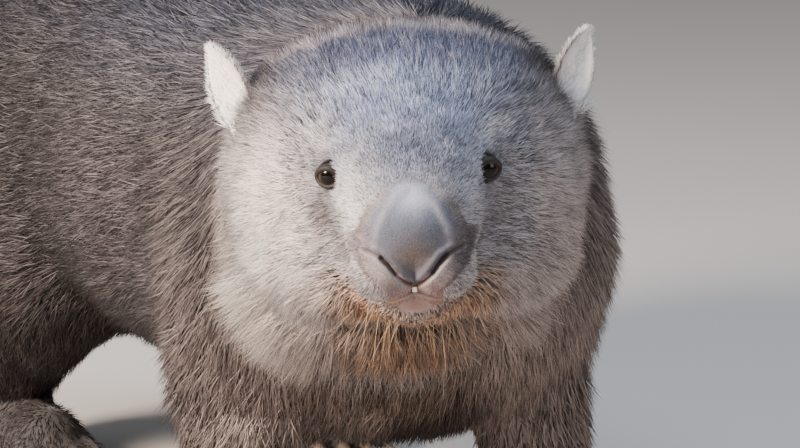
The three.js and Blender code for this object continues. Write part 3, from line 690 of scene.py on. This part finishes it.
for side_name, side in SIDES.items():
    flip = np.array([side, 1, 1])
    facing = EYE_FACING * flip
    centre = to_world(from_head(EYE_CENTRE * flip))
    gaze = facing @ HEAD_AXES.T
    ball = bmesh.new()
    bmesh.ops.create_uvsphere(ball, u_segments=64, v_segments=40, radius=EYE_RADIUS * MILLIMETRE)
    turn = Vector(gaze).to_track_quat("Z", "Y").to_matrix()
    bmesh.ops.transform(ball, matrix=Matrix.Translation(Vector(centre)) @ turn.to_4x4(), verts=ball.verts)
    ball_mesh = bpy.data.meshes.new(f"eye_{side_name}")
    ball.to_mesh(ball_mesh)
    ball.free()
    iris = Finish(f"eye {side_name}")
    from_centre = iris.add("ShaderNodeVectorMath", {"operation": "SUBTRACT"},
                           {0: iris.place, 1: tuple(centre)})
    ahead = iris.add("ShaderNodeVectorMath", {"operation": "DOT_PRODUCT"},
                     {0: from_centre, 1: tuple(gaze)}, "Value")
    fibres = iris.noise(2200.0, 4.0)
    ring = iris.add("ShaderNodeValToRGB", {"stops": [
        (0.0, (0.004, 0.003, 0.003)), (0.60, (0.010, 0.006, 0.005)), (0.72, (0.045, 0.021, 0.010)),
        (0.88, (0.030, 0.015, 0.008)), (0.915, (0.002, 0.002, 0.002)), (1.0, (0.002, 0.002, 0.002))]},
        {"Fac": ahead / (EYE_RADIUS * MILLIMETRE)})
    iris.set(Base_Color=iris.tinted(ring, fibres, 0.5), Roughness=0.03 + 0.03 * fibres,
             Specular_IOR_Level=0.16)
    place(f"eye_{side_name}", ball_mesh, iris.material, "eye", f"eye_{side_name}")

    level = np.array([1.0, 0.0, 0.0]) * side
    level = unit(level - (level @ facing) * facing)
    upward = np.cross(facing, level)
    if upward[2] < 0:
        upward = -upward
    rows = []
    for i in range(LID_STEPS):
        turn_at = 2 * math.pi * i / LID_STEPS
        x = LID_HALF_WIDTH * math.cos(turn_at) * (1 + 0.14 * math.cos(turn_at) ** 4)
        y = LID_HALF_HEIGHT * math.sin(turn_at)
        out = level * math.cos(turn_at) + upward * math.sin(turn_at)
        depth = math.sqrt(max((EYE_RADIUS + 0.3) ** 2 - x * x - y * y, 0.1)) - 1.5
        middle = EYE_CENTRE * flip + level * x + upward * y + facing * depth
        tube = LID_THICKNESS + UPPER_LID_EXTRA * max(math.sin(turn_at), 0)
        rows.append([middle + tube * (out * math.cos(a) * 1.25 + facing * math.sin(a) * 1.9)
                     for a in np.linspace(0, 2 * math.pi, LID_ROUND, endpoint=False)])
    verts = to_world(from_head(np.array(rows).reshape(-1, 3)))
    faces = []
    for i in range(LID_STEPS):
        here, after = i * LID_ROUND, (i + 1) % LID_STEPS * LID_ROUND
        for j in range(LID_ROUND):
            k = (j + 1) % LID_ROUND
            faces.append((here + j, here + k, after + k, after + j))
    lid_mesh = bpy.data.meshes.new(f"eyelid_{side_name}")
    lid_mesh.from_pydata(verts.tolist(), [], faces)
    place(f"eyelid_{side_name}", lid_mesh, lid_skin.material, "face_fur")


# Teeth: the two upper front teeth, side by side, of pale ivory enamel. They are set in the jaw,
# and only their tips show, in the notch of the upper lip.

TOOTH_TOP = -46.4
TOOTH_LENGTH = 3.6
TOOTH_FRONT = -74.2
TEETH_HALF_WIDTH = 1.6

enamel = grained("tooth enamel", (0.72, 0.66, 0.52, 1), (700.0, 2.0), 0.15, (0.28, 0.1))
rows = []
for t in np.linspace(0, 1, 6):
    c = TOOTH_TOP - TOOTH_LENGTH * t
    half = TEETH_HALF_WIDTH - 0.25 * t
    thick = 1.5 - 1.1 * t
    b = TOOTH_FRONT + 0.8 * t
    rows.append([to_world(from_head((half * math.cos(a), b + thick * math.sin(a), c)))
                 for a in np.linspace(0, 2 * math.pi, 16, endpoint=False)])
place("front_teeth", closed_tube(rows, "front_teeth"), enamel.material, "tooth", "front_teeth")


# Claws: long and blunt, of dark horn, flattened from above. They grow out of the ends of the toes,
# five on each forefoot and four on each hind foot.

FORE_CLAW_LENGTH = 33
FORE_CLAW_HALF_WIDTH = 5.2
HIND_CLAW_ROOT = 314
HIND_CLAW_LENGTH = 29
HIND_CLAW_HALF_WIDTH = 4.8

horn = grained("claw horn", (0.115, 0.085, 0.062, 1), (420.0, 4.0), 0.45, (0.34, 0.18), (0.0005, 0.4))


def claw_mesh(name, root, heading, length, half):
    """A claw from its root along a heading, drooping towards its blunt tip."""
    rows = []
    for t in np.linspace(0, 1, 14):
        reach = length * t
        x = root[0] + math.sin(heading) * reach
        y = root[1] - math.cos(heading) * reach
        z = root[2] - 0.16 * length * t * t
        wide = half * (1 - 0.72 * t ** 1.5)
        if t > 0.95:
            wide *= 0.6
        high = wide * 0.8
        rows.append([to_world(np.array([x + wide * math.cos(a) * math.cos(heading),
                                        y + wide * math.cos(a) * math.sin(heading),
                                        z + high * math.sin(a)]))
                     for a in np.linspace(0, 2 * math.pi, 13, endpoint=False)])
    return closed_tube(rows, name)


for side_name, side in SIDES.items():
    for i, n in enumerate(FORE_TOES):
        name = f"claw_foreleg_{side_name}_{i + 1}"
        root = (side * FORE_PAW_ASIDE + n * 14.6, FORE_CLAW_ROOT + 5 * abs(n), 11.5)
        mesh = claw_mesh(name, root, 0.1 * n, FORE_CLAW_LENGTH - 2 * abs(n), FORE_CLAW_HALF_WIDTH)
        place(name, mesh, horn.material, "claw_horn", name)
    for i, n in enumerate(HIND_TOES):
        name = f"claw_hindleg_{side_name}_{i + 1}"
        root = (side * HIND_PAW_ASIDE + n * 15.6, HIND_CLAW_ROOT - HIND_STEP[side] + 5 * abs(n), 11)
        mesh = claw_mesh(name, root, 0.08 * n, HIND_CLAW_LENGTH - abs(n), HIND_CLAW_HALF_WIDTH)
        place(name, mesh, horn.material, "claw_horn", name)


# Coat: dense short hair on the face and feet, longer and coarser on the body, rooted in the skin.
# Every tuft is a thin closed blade that leans along the lie of the coat and has its own tint.

outward = directions(slope_of(outer_form, points))
corners = np.empty(len(skin_mesh.polygons) * 3, dtype=int)
skin_mesh.polygons.foreach_get("vertices", corners)
corners = corners.reshape(-1, 3)
centres = points[corners].mean(axis=1)
areas = 0.5 * np.linalg.norm(np.cross(points[corners[:, 1]] - points[corners[:, 0]],
                                      points[corners[:, 2]] - points[corners[:, 0]]), axis=1)
centre_q = to_head(centres)
centre_out = outward[corners].mean(axis=1)


def scatter(weight, count, seed):
    """Roots spread evenly over the skin, by the area of its faces times a weight."""
    turn = np.random.default_rng(seed)
    share = np.cumsum(areas * weight)
    pick = np.searchsorted(share, (np.arange(count) + turn.random(count)) / count * share[-1])
    u, v = turn.random((2, count))
    over = u + v > 1
    u[over], v[over] = 1 - u[over], 1 - v[over]
    mix = np.column_stack((1 - u - v, u, v))[:, :, None]
    root = (points[corners[pick]] * mix).sum(1)
    out = (outward[corners[pick]] * mix).sum(1)
    return root, out / np.linalg.norm(out, axis=1)[:, None]


def lie_of(p):
    """The way the hair points, before it is laid along the skin."""
    q = to_head(p)
    m = np.abs(q[:, 0])
    away = directions(q - np.array([0, -78, -12])) + np.array([0, 0.45, 0])
    drop = ramp(m, 20, 75) * ramp(20 - q[:, 2], 0, 60)
    away += np.column_stack((0.25 * np.sign(q[:, 0]) * drop, 0.1 * drop, -0.9 * drop))
    away = away @ HEAD_AXES.T
    head = ramp(125 - q[:, 1], 0, 45) * ramp(210 - np.linalg.norm(q, axis=1), 0, 50)
    down = np.clip(ramp(90 - p[:, 1], 0, 150) + ramp(170 - p[:, 2], 0, 90), 0, 1)
    body = np.column_stack((0.12 * np.sign(p[:, 0]), 1 - 0.85 * down, -0.30 - 0.75 * down))
    top = ramp(p[:, 2], 310, 370)
    body[:, 2] *= 1 - top
    tail = np.linalg.norm(p - np.array([0, 545, 198]), axis=1) < 34
    body[tail] = (0, 0.6, -0.8)
    return away * head[:, None] + body * (1 - head[:, None])


def laid(way, out):
    """A way of the hair, pressed down until it runs along the skin."""
    return directions(way - (way * out).sum(1)[:, None] * out)


UNWRAP_BOXES = [((-110, -100, -110), (110, 150, 75)), ((-160, -220, 60), (160, 600, 400)),
                ((-160, -120, -5), (0, 110, 200)), ((0, -120, -5), (160, 110, 200)),
                ((-170, 250, -5), (0, 520, 260)), ((0, 250, -5), (170, 520, 260))]


def unwrap(p, out):
    """Each root's place on a map of the skin: six parts of the animal, seen from six sides."""
    q = to_head(p)
    part = np.ones(len(p), dtype=int)
    fore = (p[:, 2] < 120) & (p[:, 1] < 150)
    hind = (p[:, 2] < 120) & (p[:, 1] >= 250)
    part[fore] = np.where(p[fore, 0] < 0, 2, 3)
    part[hind] = np.where(p[hind, 0] < 0, 4, 5)
    on_head = (q[:, 1] < 90) & (np.linalg.norm(q, axis=1) < 150)
    part[on_head] = 0
    use = np.where(on_head[:, None], q, p)
    face = np.where(on_head[:, None], out @ HEAD_AXES, out)
    axis = np.abs(face).argmax(1)
    rows = np.arange(len(p))
    way = axis * 2 + (face[rows, axis] > 0)
    low, high = np.array(UNWRAP_BOXES, dtype=float)[part].transpose(1, 0, 2)
    local = np.clip((use - low) / (high - low), 0, 1) * 0.92 + 0.04
    across = local[rows, (axis + 1) % 3]
    along = local[rows, (axis + 2) % 3]
    return np.column_stack(((part + across) / 6, (way + along) / 6))


hair = Finish("coat hair")
hair_tone = hair.mesh_tone()
hair.place = hair.add("ShaderNodeUVMap", {"uv_map": "strand"}, {})
streak = hair.noise(5.0)
hair.set(Base_Color=hair.tinted(hair_tone, streak, 0.55), Roughness=0.48 + 0.2 * streak,
         Specular_IOR_Level=0.14, Normal=hair.bump(streak, 0.0006, 0.4))


def grow_coat(name, root, out, length, width, lift, under, tip, seed, bend=False,
              stray=0.22, lie=None):
    """One piece of coat: a blade on each root, of a root ring, a middle ring if it bends, and a tip."""
    turn = np.random.default_rng(seed)
    count = len(root)
    width = np.broadcast_to(width, count)
    lie = laid(lie_of(root) if lie is None else lie, out)
    swing = turn.normal(0, stray, count) + 0.30 * wave(root, 26, seed + 1) + 0.22 * wave(root, 8, seed + 2)
    beside = np.cross(out, lie)
    lie = lie * np.cos(swing)[:, None] + beside * np.sin(swing)[:, None]
    beside = np.cross(out, lie)
    length = length * turn.uniform(0.72, 1.12, count)
    lift = lift * turn.uniform(0.7, 1.15, count) * (1 + 0.22 * wave(root, 12, seed + 3))
    lift = np.clip(lift, 0.06, 1.35)
    first = lie * np.cos(lift)[:, None] + out * np.sin(lift)[:, None]
    sag = lift * 0.45
    second = lie * np.cos(sag)[:, None] + out * np.sin(sag)[:, None]
    ring = np.stack((beside * -0.5, beside * 0.5, out * 0.42), axis=1)
    start = root - out * 0.7
    layers = [start[:, None, :] + ring * width[:, None, None]]
    marks = [np.repeat(0.0, 3)]
    if bend:
        middle = root + first * (length * 0.5)[:, None]
        layers.append(middle[:, None, :] + ring * (width * 0.8)[:, None, None])
        end = middle + second * (length * 0.5)[:, None]
        marks.append(np.repeat(0.5, 3))
    else:
        end = root + first * length[:, None]
    end[:, 2] = np.maximum(end[:, 2], 0.4)
    layers.append(end[:, None, :])
    marks.append(np.array([1.0]))
    verts = np.concatenate(layers, axis=1)
    marks = np.concatenate(marks)
    size = verts.shape[1]
    local = [(0, 2, 1)]
    rings = (size - 1) // 3
    for i in range(rings - 1):
        for j in range(3):
            k = (j + 1) % 3
            local += [(i * 3 + j, i * 3 + k, i * 3 + 3 + k), (i * 3 + j, i * 3 + 3 + k, i * 3 + 3 + j)]
    top = (rings - 1) * 3
    local += [(top, top + 1, size - 1), (top + 1, top + 2, size - 1), (top + 2, top, size - 1)]
    local = np.array(local)
    faces = (np.arange(count)[:, None, None] * size + local[None]).reshape(-1, 3)
    verts = verts.reshape(-1, 3)
    mesh = bpy.data.meshes.new(name)
    mesh.vertices.add(len(verts))
    mesh.vertices.foreach_set("co", to_world(verts).astype(np.float32).ravel())
    mesh.loops.add(faces.size)
    mesh.loops.foreach_set("vertex_index", faces.ravel().astype(np.int32))
    mesh.polygons.add(len(faces))
    mesh.polygons.foreach_set("loop_start", (np.arange(len(faces)) * 3).astype(np.int32))
    mesh.update(calc_edges=True)
    side_at = np.tile([0.0, 1.0, 0.5], rings).tolist() + [0.5]
    bake = mesh.uv_layers.new(name="OFBake")
    spot = unwrap(root, out)[:, None, :] + np.column_stack((side_at, marks))[None] * 0.003 - 0.0015
    bake.data.foreach_set("uv", spot.reshape(-1, 2)[faces.ravel()].astype(np.float32).ravel())
    own = mesh.uv_layers.new(name="strand")
    along = np.stack((np.array(side_at) + turn.uniform(0, 50, count)[:, None],
                      marks * 0.5 + turn.uniform(0, 50, count)[:, None]), axis=2)
    own.data.foreach_set("uv", along.reshape(-1, 2)[faces.ravel()].astype(np.float32).ravel())
    shade = under[:, None, :] * (1 - marks[None, :, None]) + tip[:, None, :] * marks[None, :, None]
    set_tone(mesh, shade.reshape(-1, 3))
    mesh.uv_layers["OFBake"].active_render = True
    mesh.polygons.foreach_set("use_smooth", np.ones(len(faces), dtype=bool))
    piece = stand(name, mesh, hair.material)
    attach(piece, "root")


def tints(root, seed, pale, pale_share, dark_share, base=None):
    """Root and tip colours of each tuft, some ticked with pale tips and some dark throughout."""
    turn = np.random.default_rng(seed)
    base = markings_and_painted_light(root) if base is None else base
    base = base * turn.uniform(0.62, 1.35, len(root))[:, None]
    draw = turn.random(len(root)) + 0.10 * wave(root, 10, seed + 9)
    tip = base * 1.3
    light = draw < pale_share
    shown = np.clip(base[light].mean(1) / 0.13 + 0.08, 0, 1)[:, None]
    tip[light] = tip[light] * (1 - 0.7 * shown) + (base[light] * 1.2 + np.array(pale)) * 0.5 * shown
    dark = draw > 1 - dark_share
    tip[dark] *= 0.30
    base[dark] *= 0.5
    return base * 0.6, tip


EYE_ROOM = 7.6


def clear_of_eyes(root, out, depth, length):
    """Leaves out the tufts whose hair would come to lie over the eyes."""
    lie = laid(lie_of(root), out)
    keep = np.ones(len(root), dtype=bool)
    for t in (0, 0.35, 0.7, 1.0):
        q = to_head(root + (lie * 0.9 + out * 0.3) * (length * t)[:, None])
        away = mirrored(q) - EYE_CENTRE
        along = away @ EYE_FACING
        keep &= np.linalg.norm(away - along[:, None] * EYE_FACING, axis=1) > EYE_ROOM
    return root[keep], out[keep], depth[keep], length[keep]


def cover(name, where, tufts, seeds, pale, ticked, dark, depths, width, lift, extra=0, bend=False):
    """The coat of one region, as long as a number of times its depth there and some extra."""
    root, out = scatter(where & hairy, tufts, seeds[0])
    length = coat_depth(root) * depths + extra
    under, tip = tints(root, seeds[1], pale, ticked, dark)
    grow_coat(name, root, out, length, width, lift, under, tip, seeds[2], bend)


on_head = (centre_q[:, 1] < 84) & (np.linalg.norm(centre_q, axis=1) < 160)
centre_a, centre_c = np.abs(centre_q[:, 0]), centre_q[:, 2]
folds = np.minimum(from_line(centre_a, centre_c, NOSTRIL), from_line(centre_a, centre_c, CLEFT))
folds = np.minimum(folds, from_line(centre_a, centre_c, MOUTH))
lower_lip = np.hypot(centre_a / 2.2, centre_c + 59) < 4
bare = (centre_q[:, 1] < -50) & ((folds < 1.5) | lower_lip)
hairy = ~bare & (centres[:, 2] >= 2.0)
snout = from_pad(centre_a, centre_c) < 2.5 + ramp(-centre_c, 14, 28) * 12
muzzle = on_head & (centre_q[:, 1] < -50) & (centre_c > -62) & snout
face = on_head & ~muzzle & (centre_q[:, 1] < 24) & (centre_c > -52) & (centre_a < 62)
rest = on_head & ~face & ~muzzle
crown = rest & (centre_c > 12)
jaw = rest & ~crown & (centre_a < 42)
cheek = rest & ~crown & ~jaw
paws = centres[:, 2] < 46
legs = (centres[:, 2] < 150) & ~paws & ~on_head & ((centres[:, 1] > 230) | (np.abs(centres[:, 0]) > 52))
body = ~on_head & ~paws & ~legs
chest = body & (centres[:, 1] < 60)
back = body & ~chest & (centre_out[:, 2] > 0.62)
flank = body & ~chest & ~back

root, out = scatter(muzzle & hairy, 22000, 11)
q = to_head(root)
on_pad = 1 - ramp(from_pad(np.abs(q[:, 0]), q[:, 2]), -3, 2)
length = (1.0 + coat_depth(root) * 1.5) * (1 - 0.45 * on_pad)
under, tip = tints(root, 12, (0.50, 0.50, 0.54), 0.25, 0.15, bare_tone_and_painted_light(root))
grow_coat("fur_muzzle", root, out, length, 0.36, 0.55, under * 1.25, tip, 13, stray=0.35)

for side_name, side in SIDES.items():
    dense = 1 + 1.2 * ramp(-centre_q[:, 1], -10, 40)
    root, out = scatter(dense * (face & hairy & (centre_q[:, 0] * side > 0)), 28000, 21 + side)
    depth = coat_depth(root)
    root, out, depth, length = clear_of_eyes(root, out, depth, depth * 1.7 + 1.4)
    under, tip = tints(root, 23 + side, (0.70, 0.71, 0.78), 0.34, 0.30)
    grow_coat(f"fur_face_{side_name}", root, out, length, 0.46 + 0.035 * depth, 0.50,
              under, tip, 25 + side)

root, out = scatter(crown & hairy, 30000, 31)
under, tip = tints(root, 32, (0.62, 0.54, 0.55), 0.30, 0.24)
lift = 0.46 + 0.14 * ramp(to_head(root)[:, 1], 50, 80)
grow_coat("fur_crown", root, out, coat_depth(root) * 1.55 + 3, 0.80, lift, under, tip, 33)

for side_name, side in SIDES.items():
    root, out = scatter(cheek & hairy & (centre_q[:, 0] * side > 0), 28000, 41 + side)
    q = to_head(root)
    depth = coat_depth(root)
    long = 1 + 0.6 * ramp(-q[:, 2], 40, 78) + 0.45 * ramp(q[:, 1], 30, 70)
    root, out, depth, length = clear_of_eyes(root, out, depth, (depth * 1.8 + 2) * long)
    under, tip = tints(root, 43 + side, (0.72, 0.64, 0.60), 0.32, 0.22)
    lift = 0.48 + 0.12 * ramp(to_head(root)[:, 1], 30, 70)
    grow_coat(f"fur_cheek_{side_name}", root, out, length, 0.80, lift, under, tip, 45 + side)

cover("fur_chin", jaw, 10000, (51, 52, 53), (0.60, 0.36, 0.18), 0.34, 0.20,
      depths=2.5, extra=3, width=0.85, lift=0.55, bend=True)
cover("fur_chest", chest, 38000, (61, 62, 63), (0.52, 0.44, 0.38), 0.26, 0.28,
      depths=2.3, width=1.25, lift=0.44)
cover("fur_back", back, 30000, (71, 72, 73), (0.40, 0.37, 0.38), 0.28, 0.32,
      depths=2.2, width=1.6, lift=0.42)
cover("fur_flank_right", flank & (centres[:, 0] < 0), 38000, (80, 82, 84),
      (0.44, 0.39, 0.37), 0.27, 0.32, depths=2.2, width=1.4, lift=0.42)
cover("fur_flank_left", flank & (centres[:, 0] > 0), 27000, (82, 84, 86),
      (0.44, 0.39, 0.37), 0.27, 0.32, depths=2.2, width=1.65, lift=0.42)
cover("fur_legs", legs, 28000, (91, 92, 93), (0.34, 0.28, 0.25), 0.24, 0.30,
      depths=2.1, extra=1, width=1.3, lift=0.38)
cover("fur_paws", paws, 11000, (95, 96, 97), (0.26, 0.20, 0.16), 0.22, 0.30,
      depths=1.7, extra=1.2, width=1.0, lift=0.38)


# Ears: thin upright cups of skin and gristle with rounded tips, grown from the back corners of the
# head. Their hair is white inside and along the edge, dark towards the crown and red-brown behind.

EAR_LENGTH = 51.0
EAR_HALF_WIDTH = 12.5
EAR_WALL = 3.4
EAR_COLUMNS = 15
EAR_ROWS = 26
EAR_TUFTS = 3600
EAR_BASE = np.array([88.0, 58.0, 4.0])
EAR_UPWARD = np.array([22, 32, 44])
EAR_OPENING = np.array([0.45, -0.86, 0.1])
EDGE_WHITE = np.array([0.88, 0.86, 0.83])

ear_skin = grained("ear skin", None, (1500.0, 3.0), 0.3, (0.6, 0.15), (0.0005, 0.5))


def half_wall(s, t):
    """Half the ear's thickness, less towards its tip and at its edges."""
    return EAR_WALL * (1 - 0.55 * t) * 0.5 * math.sqrt(max(1 - s ** 8, 0))


for side_name, side in SIDES.items():
    flip = np.array([side, 1, 1])
    along = unit(EAR_UPWARD * flip)
    across = unit(np.cross(EAR_OPENING * flip, along))
    ahead = np.cross(along, across)

    def ear_point(s, t, push):
        """A place on the cup: s from edge to edge, t from base to tip, push through its wall."""
        half = EAR_HALF_WIDTH * max(0.74 + 1.05 * t - 1.72 * t ** 2.4, 0.02)
        cup = 9 * (1 - 0.75 * t) * min(1, half / EAR_HALF_WIDTH)
        spine = EAR_BASE * flip + along * EAR_LENGTH * t - ahead * 4 * t * (1 - t)
        return spine + across * s * half + ahead * (cup * (s * s - 0.5) + push)

    verts, colours = [], []
    for t in np.linspace(-0.12, 0.995, EAR_ROWS):
        up = max(t, 0)
        drop = along * EAR_LENGTH * min(t, 0)
        ring = [(s, half_wall(s, up)) for s in np.linspace(-1, 1, EAR_COLUMNS)]
        ring += [(s, -half_wall(s, up)) for s in np.linspace(1, -1, EAR_COLUMNS)[1:-1]]
        for i, (s, push) in enumerate(ring):
            verts.append(ear_point(s, up, push) + drop)
            edge = abs(s) ** 3
            medial = (s * across[0] * side < 0) * abs(s)
            if i < EAR_COLUMNS:
                tone = np.array([0.80, 0.70, 0.66]) * (1 - 0.5 * edge) + EDGE_WHITE * 0.5 * edge
                tone = tone * (1 - 0.75 * medial ** 2) + np.array([0.13, 0.085, 0.07]) * 0.75 * medial ** 2
            else:
                tone = np.array([0.16, 0.095, 0.07]) * (1 - 0.5 * edge) + EDGE_WHITE * 0.5 * edge
            colours.append(tone)
    count = 2 * EAR_COLUMNS - 2
    rows = np.array(verts).reshape(EAR_ROWS, count, 3)
    mesh = closed_tube(to_world(from_head(rows)), f"ear_{side_name}")
    set_tone(mesh, np.array(colours))
    place(f"ear_{side_name}", mesh, ear_skin.material, "ear_fur", f"ear_{side_name}")

    turn = np.random.default_rng(101 + side)
    t = turn.uniform(0.02, 0.99, EAR_TUFTS)
    s = np.clip(turn.uniform(-1, 1, EAR_TUFTS) * 1.12, -1, 1)
    inner = turn.random(EAR_TUFTS) < 0.55
    root, out, lie = np.empty((3, EAR_TUFTS, 3))
    for i in range(EAR_TUFTS):
        root[i] = ear_point(s[i], t[i], half_wall(s[i], t[i]) * (1 if inner[i] else -1))
        out[i] = ahead * (1 if inner[i] else -1) + across * s[i] * (0.5 + abs(s[i]) ** 6)
        lie[i] = along * 0.9 + across * s[i] * 0.55
    out /= np.linalg.norm(out, axis=1)[:, None]
    medial = (s * across[0] * side < 0) * np.abs(s)
    edge = np.abs(s) ** 4
    tone = np.where(inner[:, None], (0.84, 0.79, 0.76), (0.17, 0.10, 0.075))
    tone = tone * (1 - edge[:, None]) + EDGE_WHITE * edge[:, None]
    dark = np.clip(1.1 * medial ** 2 * (1 - t * 0.8), 0, 1)[:, None]
    tone = tone * (1 - dark) + np.array([0.12, 0.075, 0.06]) * dark
    tone = tone * turn.uniform(0.75, 1.15, EAR_TUFTS)[:, None]
    length = 4.2 + 2.0 * edge * (1 - t) + 6.0 * (t < 0.2)
    grow_coat(f"fur_ear_{side_name}", from_head(root), out @ HEAD_AXES.T, length, 0.7, 0.32,
              tone * 0.8, tone, 111 + side, lie=lie @ HEAD_AXES.T)


# Whiskers: long thin bristles of horn that taper to a point and bend under their own weight, dark
# ones rooted in the sides of the muzzle and the cheeks and golden ones under the chin.

bristle = Finish("whiskers")
bristle_tone = bristle.mesh_tone()
bristle_grain = bristle.noise(600.0, 2.0)
bristle.set(Base_Color=bristle.tinted(bristle_tone, bristle_grain, 0.25), Roughness=0.35)

WHISKER_RINGS = 8
MUZZLE_WHISKERS = 23
CHEEK_WHISKERS = 11
CHIN_WHISKERS = 54


def whisker_piece(name, slot, starts, ways, lengths, tones, thick):
    verts, faces, colours = [], [], []
    for start, way, length, tone in zip(starts, ways, lengths, tones):
        way = unit(way)
        side_way = unit(np.cross(way, (0, 0, 1)))
        up_way = np.cross(side_way, way)
        faces += tube_faces(WHISKER_RINGS, 3, len(verts))
        for t in np.linspace(0, 1, WHISKER_RINGS):
            middle = start + way * length * t + np.array([0, 0, -0.22]) * length * t * t
            radius = thick * (1 - 0.88 * t)
            for a in np.linspace(0, 2 * math.pi, 3, endpoint=False):
                verts.append(middle + radius * (side_way * math.cos(a) + up_way * math.sin(a)))
                colours.append(np.array(tone) * (1 + 0.4 * t))
    mesh = bpy.data.meshes.new(name)
    mesh.from_pydata(to_world(from_head(verts)).tolist(), [], faces)
    set_tone(mesh, np.array(colours))
    place(name, mesh, bristle.material, slot)


turn = np.random.default_rng(131)
starts, ways, lengths, tones = [], [], [], []
for side in SIDES.values():
    for i in range(MUZZLE_WHISKERS + CHEEK_WHISKERS):
        at = np.array([side * turn.uniform(26, 52), -70.0, turn.uniform(-52, -8)])
        on_cheek = i >= MUZZLE_WHISKERS
        if on_cheek:
            at = np.array([side * turn.uniform(52, 78), -70.0, turn.uniform(-70, 6)])
        while head_form(at[None])[0] > -0.5 and at[1] < 60:
            at[1] += 0.5
        starts.append(at)
        ways.append((side * turn.uniform(0.55, 0.9), turn.uniform(0.2, 0.75) + 0.3 * on_cheek,
                     turn.uniform(-0.75, 0.05)))
        lengths.append(turn.uniform(22, 40) * (0.55 if on_cheek else 1))
        tones.append((0.03, 0.022, 0.02) if turn.random() < 0.88 else (0.30, 0.22, 0.16))
whisker_piece("whiskers_muzzle", "face_fur", starts, ways, lengths, tones, 0.24)

starts, ways, lengths, tones = [], [], [], []
for _ in range(CHIN_WHISKERS):
    at = np.array([turn.uniform(-34, 34), turn.uniform(-62, -20), -95.0])
    while head_form(at[None])[0] > -0.5 and at[2] < -30:
        at[2] += 0.5
    starts.append(at)
    ways.append((at[0] / 50 + turn.uniform(-0.55, 0.55), turn.uniform(-0.6, 0.3), -1.0))
    lengths.append(turn.uniform(9, 30))
    if turn.random() < 0.6:
        tones.append(np.array((0.42, 0.27, 0.14)) * turn.uniform(0.4, 1.2))
    else:
        tones.append((0.06, 0.04, 0.03))
whisker_piece("whiskers_chin", "chin_fur", starts, ways, lengths, tones, 0.20)


# Camera: in front of the face and a little above it, as far off as the photo's perspective asks.
# Its aim and its lens follow from the eyes, which stand at a known place and spacing in the photo.

eye_boxes = [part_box("eye_left"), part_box("eye_right")]
between_eyes = sum((low + high for low, high in eye_boxes), Vector()) / 4
azimuth = math.radians(-25)
elevation = math.radians(9.5)
distance = 1.85
pixel = 0.00054
picture_width = 800
toward = Vector((math.sin(azimuth) * math.cos(elevation), -math.cos(azimuth) * math.cos(elevation),
                 math.sin(elevation)))
level = Vector((math.cos(azimuth), math.sin(azimuth), 0))
upward = toward.cross(level)
target = between_eyes - level * (8.2 * pixel) - upward * (53.2 * pixel)
camera_data = bpy.data.cameras.new("camera")
camera_data.sensor_width = 36
camera_data.lens = distance / pixel * camera_data.sensor_width / picture_width
camera = bpy.data.objects.new("camera", camera_data)
turned = Matrix((level, upward, toward)).transposed().to_4x4()
camera.matrix_world = Matrix.Translation(target + toward * distance) @ turned
bpy.context.collection.objects.link(camera)
bpy.context.scene.camera = camera


# Light and floor: a studio's soft panels in the colours of a warm low sun at the animal's right and
# a cool sky above, and a plain pale floor that it stands on.

def panel(name, at, size, power, colour):
    data = bpy.data.lights.new(name, "AREA")
    data.shape = "RECTANGLE"
    data.size, data.size_y = size
    data.energy = power
    data.color = colour
    lamp = bpy.data.objects.new(name, data)
    lamp.location = target + Vector(at)
    lamp.rotation_euler = (target - lamp.location).to_track_quat("-Z", "Y").to_euler()
    bpy.context.collection.objects.link(lamp)


panel("warm side light", level * -2.0 + toward * 1.25 + Vector((0, 0, 0.85)), (0.8, 0.8), 300,
      (1.0, 0.86, 0.74))
panel("cool top light", Vector((0, 0.4, 2.2)) + toward * 0.5, (2.4, 2.4), 78, (0.74, 0.85, 1.0))
panel("soft side light", level * 2.4 + toward * 1.2 + Vector((0, 0, 0.6)), (1.2, 1.2), 24, (0.86, 0.92, 1.0))
world = bpy.data.worlds.new("studio")
world.use_nodes = True
world.node_tree.nodes["Background"].inputs["Color"].default_value = (0.70, 0.74, 0.80, 1)
world.node_tree.nodes["Background"].inputs["Strength"].default_value = 0.42
bpy.context.scene.world = world

ground = Finish("floor")
mottle = ground.noise(3.0)
ground.set(Base_Color=ground.tinted((0.52, 0.48, 0.45, 1), mottle, 0.03), Roughness=0.8)
floor_mesh = bpy.data.meshes.new("floor")
floor_mesh.from_pydata([(-20, -8, 0), (20, -8, 0), (20, 30, 0), (-20, 30, 0)], [], [(0, 1, 2, 3)])
stand("floor", floor_mesh, ground.material)
